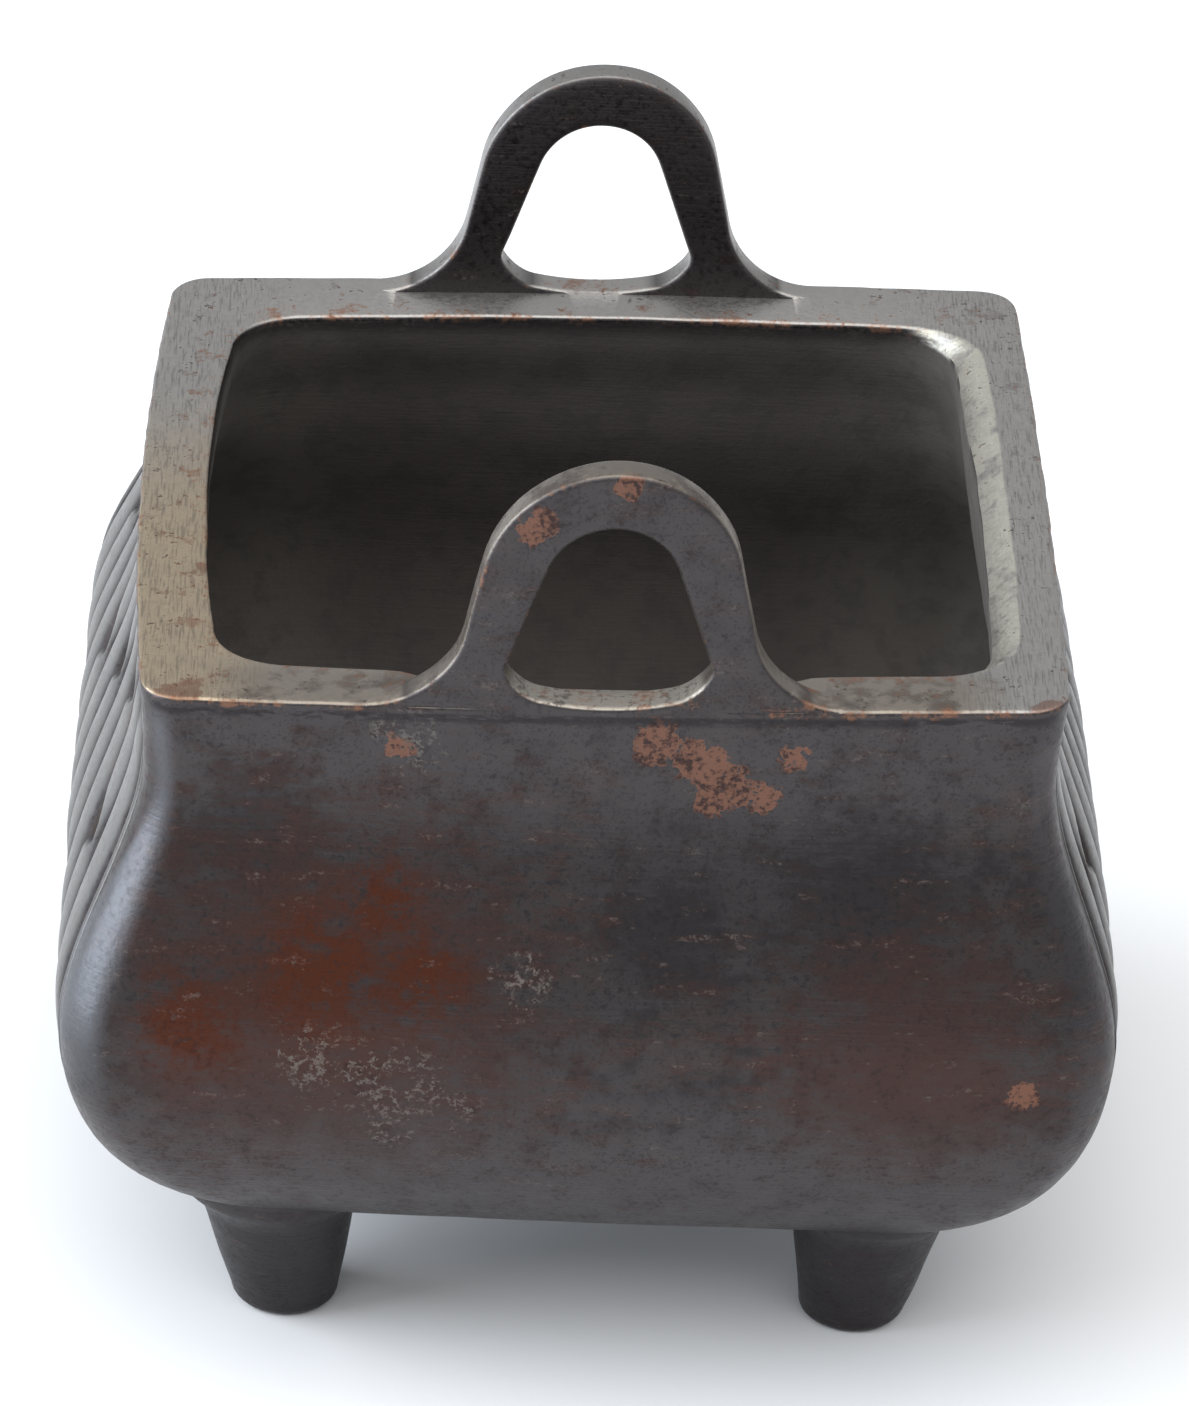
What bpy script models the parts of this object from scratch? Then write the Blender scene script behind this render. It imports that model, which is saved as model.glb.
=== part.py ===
"""A small bronze incense burner, cast in one piece.

A square bellied bowl with a thick flat rim stands on four tapering feet. An arched loop
handle rises from the front wall and one from the back wall, flush with the outside. The left
and right sides carry a panel of upright, wavy ribs inside a grooved border.

Metres, +Z up. The origin is on the ground under the middle of the bowl. The plain faces with
the handles look along -Y and +Y, and the carved ones along -X and +X.
"""

import math

import bmesh
import bpy
from mathutils import Vector

# The rim, a rounded square. Bows are listed for the right, back, left and front sides
RIM_HEIGHT = 0.0534
RIM_SIDE = 0.0601
RIM_CORNER = 0.0028
RIM_BOWS = (0.0003, 0.0006, 0.0010, 0.0006)
RIM_FLAT = 0.0046
BACK_FLAT = 0.0060

# How far the rim's right end rises and its left end sinks, in a casting deeper on its right
RIM_RISE = 0.0006

# The bowl outside, with depths measured down from the rim
NECK_DROP = 0.0068
NECK_DRAW = 0.0004
BELLY_DROP = 0.0248
BELLY_SIDE = 0.0695
BELLY_CORNER = 0.0040
BELLY_BOWS = (0.0003, 0.0004, 0.0003, 0.0004)
UNDERSIDE_DROP = 0.0434
UNDERSIDE_ROUND = 0.0132
UNDERSIDE_CORNER = 0.0075
UNDERSIDE_FULLNESS = 2.05
UNDERSIDE_BOW_SHARE = 0.5

# The bowl inside
WALL = 0.0034
FLOOR = 0.0040
MOUTH_CORNER = 0.0052
MOUTH_BEVEL = 0.0016
MOUTH_BEVEL_DROP = 0.0011
LIP_DROP = 0.0085
RECESS = 0.0018
RECESS_FLAT_WIDTH = 0.0184
RECESS_FADE = 0.0046
RECESS_DROP = 0.0070

# The loop handles
HANDLE_RISE = 0.0170
HANDLE_WIDTH = 0.0168
HANDLE_THICKNESS = 0.0024
HANDLE_LEG_LEAN = math.radians(12)
HANDLE_FLARE = 0.0065
HANDLE_EDGE = 0.0003
HANDLE_ROOT = 0.0015
HANDLE_ROOT_INSET = 0.0005
HANDLE_INSET = 0.00005
OPENING_TOP = 0.0131
OPENING_SILL = 0.0001
OPENING_TOP_RADIUS = 0.0044
OPENING_LEAN = math.radians(19)
OPENING_CORNER = 0.0020

# The feet, their middles FOOT_SPREAD from the bowl's on the ground and further out above
FOOT_SPREAD = 0.0195
FOOT_SPLAY = 0.08
FOOT_BOTTOM_DIAMETER = 0.0074
FOOT_TAPER = 0.22
FOOT_EDGE = 0.0010
FOOT_ROOT = 0.0026

# The carved side panels, with their fades as shares of the panel's height
PANEL_TOP = 0.0050
PANEL_BOTTOM = 0.0350
PANEL_MARGIN = 0.0002
PANEL_TOP_FADE = 0.12
PANEL_BOTTOM_FADE = 0.16
BORDER_WIDTH = 0.0007
BORDER_SLOPE = 0.00025
BORDER_RELIEF = 0.00015
GROOVE_WIDTH = 0.0008
GROOVE_DEPTH = 0.00042
RIB_PITCH = 0.0052
RIB_RELIEF = 0.00082
RIB_FULLNESS = 0.45
RIB_VALLEY = 0.5
RIB_LEAN = 0.0010
RIB_WAVE = 0.0008
RIB_STRAIGHTENING = 0.8
RIB_BREAKS = (0.66, 0.36)
RIB_BREAK_LENGTH = 0.0030
RIB_BREAK_DEPTH = 0.6

# How finely the casting is faceted
NECK_LEVELS = 3
SHOULDER_LEVELS = 9
LOWER_LEVELS = 7
INSIDE_LOWER_LEVELS = 5
PLAIN_SIDE_FACETS = 10
PLAIN_SIDE_CROWDING = 0.7
CORNER_FACETS = 4
RIB_FACETS = 5
ARCH_FACETS = 20
FLARE_FACETS = 5
FOOT_FACETS = 20
FOOT_EDGE_FACETS = 3
RIGHT_ANGLE = math.pi / 2
SHARP_FROM = math.radians(40)
HANDLE_SHARP_FROM = math.radians(80)

# The finish
BRONZE_COLOUR = (0.075, 0.060, 0.052, 1.0)
BRONZE_METALLIC = 0.85
BRONZE_ROUGHNESS = 0.42

FOOT_SIDES = ((1, -1), (1, 1), (-1, 1), (-1, -1))


def blend(start, end, share):
    return start + (end - start) * share


def smooth_step(share):
    share = min(max(share, 0.0), 1.0)
    return share * share * (3 - 2 * share)


def clear_scene():
    for obj in list(bpy.data.objects):
        bpy.data.objects.remove(obj, do_unlink=True)


def bronze_material():
    material = bpy.data.materials.new("bronze")
    material.use_nodes = True
    shader = material.node_tree.nodes["Principled BSDF"]
    shader.inputs["Base Color"].default_value = BRONZE_COLOUR
    shader.inputs["Metallic"].default_value = BRONZE_METALLIC
    shader.inputs["Roughness"].default_value = BRONZE_ROUGHNESS
    return material


# Section sizes of the bowl at each depth below the rim


class Section:
    """One level of the bowl, a rounded square whose sides bow out."""

    def __init__(self, drop, half_side, corner, bows):
        self.drop = drop
        self.half_side = half_side
        self.corner = corner
        self.bows = bows

    def shrunk(self, by, corner):
        """The same level, drawn in by a wall, with its own corner radius."""
        return Section(self.drop, self.half_side - by, corner, self.bows)

    @property
    def run(self):
        """Half the length of a side between its corners."""
        return self.half_side - self.corner

    @property
    def height(self):
        return RIM_HEIGHT - self.drop


def upper_section(drop):
    """From the rim, drawn in a little at the neck, and out over the shoulder to the belly."""
    swell = smooth_step((drop - NECK_DROP) / (BELLY_DROP - NECK_DROP))
    draw = NECK_DRAW * math.sin(RIGHT_ANGLE * min(drop / NECK_DROP, 1.0)) * (1 - swell)
    return Section(
        drop,
        blend(RIM_SIDE, BELLY_SIDE, swell) / 2 - draw,
        blend(RIM_CORNER, BELLY_CORNER, smooth_step(drop / BELLY_DROP)),
        [blend(rim, belly, swell) for rim, belly in zip(RIM_BOWS, BELLY_BOWS)],
    )


def lower_section(turn, reach, depth):
    """Round from the belly at turn 0 to the underside at turn 1, a quarter of a full oval."""
    angle = turn * RIGHT_ANGLE
    inward = reach * (1 - math.cos(angle) ** (2 / UNDERSIDE_FULLNESS))
    down = depth * math.sin(angle) ** (2 / UNDERSIDE_FULLNESS)
    return Section(
        BELLY_DROP + down,
        BELLY_SIDE / 2 - inward,
        blend(BELLY_CORNER, UNDERSIDE_CORNER, turn),
        [bow * blend(1.0, UNDERSIDE_BOW_SHARE, turn) for bow in BELLY_BOWS],
    )


def outer_sections():
    """The outside, from the underside up to the rim."""
    depth = UNDERSIDE_DROP - BELLY_DROP
    lower = [lower_section(1 - i / LOWER_LEVELS, UNDERSIDE_ROUND, depth) for i in range(LOWER_LEVELS)]
    shoulder = [
        upper_section(blend(BELLY_DROP, NECK_DROP, i / SHOULDER_LEVELS)) for i in range(SHOULDER_LEVELS)
    ]
    neck = [upper_section(NECK_DROP * (1 - i / NECK_LEVELS)) for i in range(NECK_LEVELS + 1)]
    return lower + shoulder + neck


def wall_at(drop):
    return blend(RIM_FLAT, WALL, smooth_step(drop / LIP_DROP))


def inner_sections():
    """The inside, from the mouth down to the floor."""
    drops = [0.0, MOUTH_BEVEL_DROP]
    drops += [blend(MOUTH_BEVEL_DROP, RECESS_DROP, i / 2) for i in (1, 2)]
    drops += [blend(RECESS_DROP, BELLY_DROP, i / 4) for i in (1, 2, 3, 4)]
    upper = [upper_section(drop).shrunk(wall_at(drop), MOUTH_CORNER) for drop in drops]
    depth = UNDERSIDE_DROP - FLOOR - BELLY_DROP
    reach = UNDERSIDE_ROUND - WALL / 2
    turns = [i / INSIDE_LOWER_LEVELS for i in range(1, INSIDE_LOWER_LEVELS + 1)]
    return upper + [lower_section(turn, reach, depth).shrunk(WALL, MOUTH_CORNER) for turn in turns]


# Carving on the left and right sides


def panel_half_length(section):
    return section.run - PANEL_MARGIN


def rib_count():
    field = 2 * (panel_half_length(upper_section(BELLY_DROP)) - BORDER_WIDTH - GROOVE_WIDTH)
    return max(round(field / RIB_PITCH), 2)


def panel_share(section):
    """How far down the panel a level is, 0 at its top and 1 at its bottom."""
    return (section.drop - PANEL_TOP) / (PANEL_BOTTOM - PANEL_TOP)


def panel_strength(section):
    """The relief fades out at the top and the bottom of the panel."""
    share = panel_share(section)
    return smooth_step(share / PANEL_TOP_FADE) * smooth_step((1 - share) / PANEL_BOTTOM_FADE)


def rib_height(rib, phase, share):
    """A rounded rib between narrow valleys, broken once along its length."""
    crest = math.sin(math.pi * phase) ** RIB_FULLNESS
    along = (share - RIB_BREAKS[rib % 2]) * (PANEL_BOTTOM - PANEL_TOP) / RIB_BREAK_LENGTH
    return RIB_RELIEF * (crest * (1 - RIB_BREAK_DEPTH * math.exp(-(along**2) * 2)) - RIB_VALLEY)


def rib_sway(place, share):
    """How far along Y a rib has leaned and waved, less toward the panel's ends."""
    lean = RIB_LEAN * (1 / 2 - share) + RIB_WAVE * math.sin(2 * math.pi * share)
    return lean * (1 - place**2) ** RIB_STRAIGHTENING


def side_columns(section):
    """(place along Y, relief) of each point of a carved side, from front to back."""
    half = panel_half_length(section)
    strength = panel_strength(section)
    share = panel_share(section)
    border = (
        (half, 0.0),
        (half - BORDER_SLOPE, BORDER_RELIEF),
        (half - BORDER_WIDTH + BORDER_SLOPE, BORDER_RELIEF),
        (half - BORDER_WIDTH, 0.0),
        (half - BORDER_WIDTH - GROOVE_WIDTH / 2, -GROOVE_DEPTH),
    )
    field = half - BORDER_WIDTH - GROOVE_WIDTH
    steps = rib_count() * RIB_FACETS
    ribs = []
    for step in range(steps + 1):
        rib, facet = divmod(step, RIB_FACETS)
        place = 2 * step / steps - 1
        place_y = field * place + rib_sway(place, min(max(share, 0.0), 1.0))
        ribs.append((place_y, rib_height(rib, facet / RIB_FACETS, share)))
    front = [(-section.run, 0.0)] + [(-y, relief) for y, relief in border]
    back = [(y, relief) for y, relief in reversed(border)] + [(section.run, 0.0)]
    return [(y, relief * strength) for y, relief in front + ribs + back]


# Outlines of the sections


def bowed(place, run, bow):
    return bow * (1 - (place / run) ** 2)


def corner_arc(x, y, radius, start_angle):
    """The points between the ends of a quarter turn, counter-clockwise."""
    angles = [start_angle + RIGHT_ANGLE * i / CORNER_FACETS for i in range(1, CORNER_FACETS)]
    return [(x + radius * math.cos(a), y + radius * math.sin(a)) for a in angles]


def plain_places(run):
    """Places along a plain side, closer together toward its ends."""
    places = []
    for i in range(PLAIN_SIDE_FACETS + 1):
        share = i / PLAIN_SIDE_FACETS
        places.append(-run * blend(1 - 2 * share, math.cos(math.pi * share), PLAIN_SIDE_CROWDING))
    return places


def section_outline(section, columns):
    """The points of one level, counter-clockwise from the front end of the right side.

    columns gives the points of the left and right sides as (place along Y, relief)."""
    half = section.half_side
    run = section.run
    corner = section.corner
    right_bow, back_bow, left_bow, front_bow = section.bows
    places = plain_places(run)
    points = [(half + bowed(y, run, right_bow) + relief, y) for y, relief in columns]
    points += corner_arc(run, run, corner, 0.0)
    points += [(-x, half + bowed(x, run, back_bow)) for x in places]
    points += corner_arc(-run, run, corner, RIGHT_ANGLE)
    points += [(-half - bowed(y, run, left_bow) - relief, y) for y, relief in reversed(columns)]
    points += corner_arc(-run, -run, corner, 2 * RIGHT_ANGLE)
    points += [(x, -half - bowed(x, run, front_bow)) for x in places]
    points += corner_arc(run, -run, corner, 3 * RIGHT_ANGLE)
    return [Vector((x, y, section.height)) for x, y in points]


def outer_ring(section):
    return section_outline(section, side_columns(section))


def inner_ring(section):
    """A level of the inside, with the mouth's right bevel, front recess and wider back flat."""
    half = section.half_side
    ring = section_outline(section, [(place, 0.0) for place in plain_places(section.run)])
    bevel = MOUTH_BEVEL * max(1 - section.drop / MOUTH_BEVEL_DROP, 0.0)
    back = (BACK_FLAT - RIM_FLAT) * (1 - smooth_step(section.drop / LIP_DROP))
    recess = RECESS * (1 - smooth_step(section.drop / RECESS_DROP))
    for point in ring:
        beside = (abs(point.x) - RECESS_FLAT_WIDTH / 2) / RECESS_FADE
        front_side = smooth_step(-2 * point.y / half - 1)
        point.x += bevel * smooth_step(2 * point.x / half - 1)
        point.y -= back * smooth_step(2 * point.y / half - 1)
        point.y -= recess * smooth_step(1 - beside) * front_side
    return ring


# Modelling helpers


def ring_edges(mesh, ring):
    return [mesh.edges.get((ring[i - 1], ring[i])) for i in range(len(ring))]


def start_ring(mesh, points, capped):
    """A circle with its vertices moved to the points, in their order."""
    made = bmesh.ops.create_circle(mesh, cap_ends=capped, segments=len(points), radius=1.0)
    ring = made["verts"]
    for vert, point in zip(ring, points):
        vert.co = point
    return ring


def extrude_ring(mesh, ring, points):
    """Extrudes the ring's edges and moves the new ring to the points."""
    made = bmesh.ops.extrude_edge_only(mesh, edges=ring_edges(mesh, ring))["geom"]
    new = {item for item in made if isinstance(item, bmesh.types.BMVert)}
    moved = []
    for vert, point in zip(ring, points):
        twin = next(edge.other_vert(vert) for edge in vert.link_edges if edge.other_vert(vert) in new)
        twin.co = point
        moved.append(twin)
    return moved


def loft(mesh, rings, cap_start, cap_end):
    """A skin through rings of as many points each. Returns its first and last vertices."""
    first = ring = start_ring(mesh, rings[0], cap_start)
    for points in rings[1:]:
        ring = extrude_ring(mesh, ring, points)
    if cap_end:
        bmesh.ops.edgeloop_fill(mesh, edges=ring_edges(mesh, ring))
    return first, ring


def finish_mesh(mesh, name):
    """Stores a closed bmesh as an object, with its faces pointing out."""
    bmesh.ops.triangulate(mesh, faces=mesh.faces)
    bmesh.ops.recalc_face_normals(mesh, faces=mesh.faces)
    data = bpy.data.meshes.new(name)
    mesh.to_mesh(data)
    mesh.free()
    obj = bpy.data.objects.new(name, data)
    bpy.context.scene.collection.objects.link(obj)
    return obj


def deepen_right(mesh):
    """Stretches heights from the belly's toward the right side and squeezes them on the left."""
    middle = RIM_HEIGHT - BELLY_DROP
    slope = RIM_RISE / (BELLY_DROP * RIM_SIDE / 2)
    for vert in mesh.verts:
        vert.co.z += (vert.co.z - middle) * slope * vert.co.x


# The casting's shapes


def bowl():
    mesh = bmesh.new()
    outside = [outer_ring(section) for section in outer_sections()]
    inside = [inner_ring(section) for section in inner_sections()]
    rim_outer = loft(mesh, outside, True, False)[1]
    rim_inner = loft(mesh, inside, False, True)[0]
    edges = ring_edges(mesh, rim_outer) + ring_edges(mesh, rim_inner)
    bmesh.ops.triangle_fill(mesh, edges=edges, use_beauty=True)
    deepen_right(mesh)
    return finish_mesh(mesh, "incense_burner")


def arc_points(x, z, radius, start_angle, end_angle, facets):
    angles = [blend(start_angle, end_angle, i / facets) for i in range(facets + 1)]
    return [(x + radius * math.cos(a), z + radius * math.sin(a)) for a in angles]


def mirrored_outline(half):
    """A closed outline from its right half, which runs from the top middle downward."""
    return half + [(-x, z) for x, z in reversed(half[1:])]


def handle_outline():
    """The arch, its straight leaning legs and the flare where it grows out of the rim."""
    radius = HANDLE_WIDTH / 2
    arch_z = HANDLE_RISE - radius
    lean = HANDLE_LEG_LEAN
    half = arc_points(0.0, arch_z, radius, RIGHT_ANGLE, lean, ARCH_FACETS // 2)
    leg_x, leg_z = half[-1]
    flare_x = leg_x + (HANDLE_FLARE - (HANDLE_FLARE - leg_z) * math.sin(lean)) / math.cos(lean)
    half += arc_points(flare_x, HANDLE_FLARE, HANDLE_FLARE, math.pi + lean, 3 * RIGHT_ANGLE, FLARE_FACETS)
    half += [(flare_x, -HANDLE_ROOT)]
    return mirrored_outline(half)


def opening_outline():
    """The rounded triangle that the handle is open to."""
    radius = OPENING_TOP_RADIUS
    lean = OPENING_LEAN
    half = arc_points(0.0, OPENING_TOP - radius, radius, RIGHT_ANGLE, lean, ARCH_FACETS // 4)
    side_x, side_z = half[-1]
    corner_z = OPENING_SILL + OPENING_CORNER
    corner_x = side_x - (OPENING_CORNER + (corner_z - side_z) * math.sin(lean)) / math.cos(lean)
    half += arc_points(corner_x, corner_z, OPENING_CORNER, lean, -RIGHT_ANGLE, FLARE_FACETS)
    return mirrored_outline(half)


def rim_face(x, bow):
    """How far out the rim's front or back edge is at a place along X."""
    return RIM_SIDE / 2 + bowed(x, RIM_SIDE / 2 - RIM_CORNER, bow)


def handle(name, facing, bow):
    """A loop handle on the front wall, facing -1, or on the back wall, facing 1."""
    mesh = bmesh.new()
    edges = []
    for outline in (handle_outline(), opening_outline()):
        ring = start_ring(mesh, [Vector((x, 0.0, z)) for x, z in outline], False)
        edges += ring_edges(mesh, ring)
    bmesh.ops.triangle_fill(mesh, edges=edges, use_beauty=True)
    made = bmesh.ops.extrude_face_region(mesh, geom=mesh.faces[:] + mesh.edges[:] + mesh.verts[:])
    inner = [item for item in made["geom"] if isinstance(item, bmesh.types.BMVert)]
    bmesh.ops.translate(mesh, verts=inner, vec=(0.0, HANDLE_THICKNESS, 0.0))
    bmesh.ops.recalc_face_normals(mesh, faces=mesh.faces)
    corners = [edge for edge in mesh.edges if edge.calc_face_angle(0.0) > HANDLE_SHARP_FROM]
    bmesh.ops.bevel(mesh, geom=corners, offset=HANDLE_EDGE, segments=1, profile=1 / 2, affect="EDGES")
    for vert in mesh.verts:
        root = min(max(-vert.co.z / HANDLE_ROOT, 0.0), 1.0)
        inset = blend(HANDLE_INSET, HANDLE_ROOT_INSET, root)
        vert.co.y = facing * (rim_face(vert.co.x, bow) - inset - vert.co.y)
        vert.co.z += RIM_HEIGHT
    deepen_right(mesh)
    return finish_mesh(mesh, name)


def foot(name, side_x, side_y):
    """A tapering foot, its bottom edge rounded and its top inside the bowl's floor."""
    mesh = bmesh.new()
    top = RIM_HEIGHT - UNDERSIDE_DROP + FOOT_ROOT
    sole = FOOT_BOTTOM_DIAMETER / 2 - FOOT_EDGE
    profile = [(sole, 0.0)]
    for i in range(1, FOOT_EDGE_FACETS + 1):
        angle = RIGHT_ANGLE * i / FOOT_EDGE_FACETS
        profile.append((sole + FOOT_EDGE * math.sin(angle), FOOT_EDGE * (1 - math.cos(angle))))
    profile.append((FOOT_BOTTOM_DIAMETER / 2 + FOOT_TAPER * (top - FOOT_EDGE), top))
    turns = [4 * RIGHT_ANGLE * i / FOOT_FACETS for i in range(FOOT_FACETS)]
    rings = []
    for radius, z in profile:
        place = FOOT_SPREAD + FOOT_SPLAY * z
        middle = Vector((side_x * place, side_y * place, z))
        rings.append([middle + radius * Vector((math.cos(a), math.sin(a), 0.0)) for a in turns])
    loft(mesh, rings, True, True)
    return finish_mesh(mesh, name)


def join_shape(casting, shape):
    """Makes a shape one body with the casting and hides the shape."""
    union = casting.modifiers.new(shape.name, "BOOLEAN")
    union.operation = "UNION"
    union.solver = "EXACT"
    union.object = shape
    shape.hide_render = True
    shape.display_type = "WIRE"


def main():
    clear_scene()
    casting = bowl()
    casting.data.materials.append(bronze_material())
    casting.data.shade_smooth()
    casting.data.set_sharp_from_angle(angle=SHARP_FROM)
    back_bow, front_bow = RIM_BOWS[1], RIM_BOWS[3]
    join_shape(casting, handle("front_handle_shape", -1, front_bow))
    join_shape(casting, handle("back_handle_shape", 1, back_bow))
    for side_x, side_y in FOOT_SIDES:
        join_shape(casting, foot(f"foot_shape_{side_x}_{side_y}", side_x, side_y))


if __name__ == "__main__":
    main()
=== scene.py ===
"""A small bronze incense burner: the casting's fine surface, its patina, and a plain stage.

Lengths are in metres and the materials work in millimetres. The burner stands on the ground
at the origin, with its plain faces toward -Y and +Y and its carved ones toward -X and +X.
"""

import math

import bmesh
import bpy
from bpy.props import FloatProperty, FloatVectorProperty, PointerProperty
from mathutils import Matrix, Vector, noise


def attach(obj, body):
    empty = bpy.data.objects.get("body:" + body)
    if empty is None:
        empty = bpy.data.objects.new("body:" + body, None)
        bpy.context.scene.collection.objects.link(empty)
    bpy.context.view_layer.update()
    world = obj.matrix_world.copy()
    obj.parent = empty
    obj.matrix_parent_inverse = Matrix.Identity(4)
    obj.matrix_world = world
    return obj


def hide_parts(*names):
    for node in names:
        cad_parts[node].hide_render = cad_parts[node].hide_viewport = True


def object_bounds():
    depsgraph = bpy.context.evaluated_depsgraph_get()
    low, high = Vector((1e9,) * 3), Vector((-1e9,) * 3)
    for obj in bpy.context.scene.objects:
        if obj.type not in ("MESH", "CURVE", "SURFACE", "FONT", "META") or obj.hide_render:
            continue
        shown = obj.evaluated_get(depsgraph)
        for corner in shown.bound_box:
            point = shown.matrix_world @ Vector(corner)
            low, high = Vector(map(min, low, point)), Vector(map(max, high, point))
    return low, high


bl_info = {
    "name": "Bronze Incense Burner",
    "version": (1, 0, 0),
    "blender": (4, 5, 0),
    "location": "3D View > Sidebar > Burner",
    "description": "Models a small cast bronze incense burner with carved sides and loop handles",
    "category": "Add Mesh",
}

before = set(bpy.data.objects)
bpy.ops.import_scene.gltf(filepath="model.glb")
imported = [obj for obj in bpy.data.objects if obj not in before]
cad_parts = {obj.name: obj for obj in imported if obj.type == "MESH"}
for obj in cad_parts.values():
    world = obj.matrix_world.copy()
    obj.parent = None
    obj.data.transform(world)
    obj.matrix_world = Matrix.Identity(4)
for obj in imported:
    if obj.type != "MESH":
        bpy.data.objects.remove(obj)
CAD_LOW, CAD_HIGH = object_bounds()

MM = 0.001
RIGHT_ANGLE = math.pi / 2


def length(name, millimetres, description):
    return FloatProperty(name=name, description=description, default=millimetres * MM, unit="LENGTH")


def share(name, default, description):
    return FloatProperty(
        name=name, description=description, default=default, subtype="FACTOR", min=0, max=1
    )


def number(name, default, description):
    return FloatProperty(name=name, description=description, default=default)


def angle(name, degrees, description):
    return FloatProperty(
        name=name, description=description, default=math.radians(degrees), subtype="ANGLE"
    )


def colour(name, rgb, description):
    return FloatVectorProperty(
        name=name, description=description, default=rgb, subtype="COLOR", size=3, min=0, max=1
    )


def bows(name, millimetres, description):
    return FloatVectorProperty(
        name=name,
        description=description,
        default=[bow * MM for bow in millimetres],
        size=4,
        unit="LENGTH",
    )


class BurnerBowlSizes(bpy.types.PropertyGroup):
    """The bowl's outside and inside."""

    rim_height: length("Rim height", 53.4, "From the ground to the top of the rim")
    rim_side: length("Rim side", 60.1, "Between opposite sides of the rim at their ends")
    rim_corner: length("Rim corner", 2.8, "Radius of the rim's corners")
    rim_bows: bows("Rim bows", (0.3, 0.6, 1.0, 0.6), "How far the right, back, left and front bow out")
    rim_edge: length("Rim edge", 0.35, "Radius of the rim's worn outer edge")
    rim_flat: length("Rim flat", 4.6, "Width of the rim's flat top")
    back_flat: length("Back flat", 6.0, "Width of the rim's flat top at the back")
    rim_rise: length("Rim rise", 0.6, "How far the rim's right end rises")
    neck_drop: length("Neck drop", 6.8, "From the rim down to where the shoulder starts")
    neck_draw: length("Neck draw", 0.4, "How far the neck is drawn in")
    belly_drop: length("Belly drop", 24.8, "From the rim down to the widest level")
    belly_corner: length("Belly corner", 4.0, "Radius of the belly's corners")
    belly_bows: bows("Belly bows", (0.3, 0.4, 0.3, 0.4), "How far the belly's sides bow out")
    underside_drop: length("Underside drop", 43.4, "From the rim down to the underside")
    underside_round: length("Underside round", 13.2, "How far in the belly rounds to the underside")
    underside_corner: length("Underside corner", 7.5, "Radius of the underside's corners")
    underside_fullness: number("Underside fullness", 2.05, "2 rounds the belly as a true oval")
    wall: length("Wall", 3.4, "Thickness of the belly's wall")
    floor: length("Floor", 4.0, "Thickness of the floor")
    mouth_corner: length("Mouth corner", 5.2, "Radius of the mouth's corners")
    mouth_edge: length("Mouth edge", 0.3, "Radius of the mouth's edge")
    mouth_bevel: length("Mouth bevel", 1.6, "Width of the filed bevel on the mouth's right side")
    mouth_bevel_drop: length("Mouth bevel drop", 1.1, "Depth of that bevel")
    lip_drop: length("Lip drop", 8.5, "Depth over which the lip thins to the wall")
    recess: length("Recess", 1.8, "How far the mouth is cut back behind the front handle")
    recess_width: length("Recess width", 18.4, "Width of that cut where it is full")
    recess_fade: length("Recess fade", 4.6, "Length over which it ends")
    recess_drop: length("Recess drop", 7.0, "Depth over which it ends")
    unevenness: length("Unevenness", 0.11, "How far the cast faces stray from their true shape")


class BurnerHandleSizes(bpy.types.PropertyGroup):
    """The loop handles."""

    width: length("Width", 16.8, "Outer diameter of the arch")
    thickness: length("Thickness", 2.4, "From the front face to the back")
    leg_lean: angle("Leg lean", 12, "How far the legs lean out")
    flare: length("Flare", 6.5, "Radius of the hollow where a leg meets the rim")
    edge: length("Edge", 0.35, "Radius of the worn edges")
    root: length("Root", 2.6, "How deep the handle reaches into the wall")
    opening_top: length("Opening top", 13.1, "From the rim up to the opening's top")
    opening_sill: length("Opening sill", 0.1, "From the rim up to the opening's sill")
    opening_top_radius: length("Opening top radius", 4.4, "Radius of the opening's top")
    opening_lean: angle("Opening lean", 19, "How far the opening's sides lean")
    opening_corner: length("Opening corner", 2.4, "Radius of the opening's lower corners")
    sill_rise: length("Sill rise", 0.45, "How far the sill curves up toward its ends")


class BurnerFootSizes(bpy.types.PropertyGroup):
    """The tapering feet."""

    spread: length("Spread", 19.5, "From the middle to a sole's middle, along X and along Y")
    splay: number("Splay", 0.08, "How far a foot leans in toward the ground, per unit of height")
    bottom: length("Bottom", 7.4, "Diameter just above the sole's edge")
    taper: number("Taper", 0.22, "How much the radius grows, per unit of height")
    edge: length("Edge", 1.0, "Radius of the sole's edge")
    root: length("Root", 2.6, "How far a foot reaches into the floor")
    fillet: length("Fillet", 1.1, "Radius where a foot meets the underside")


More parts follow.
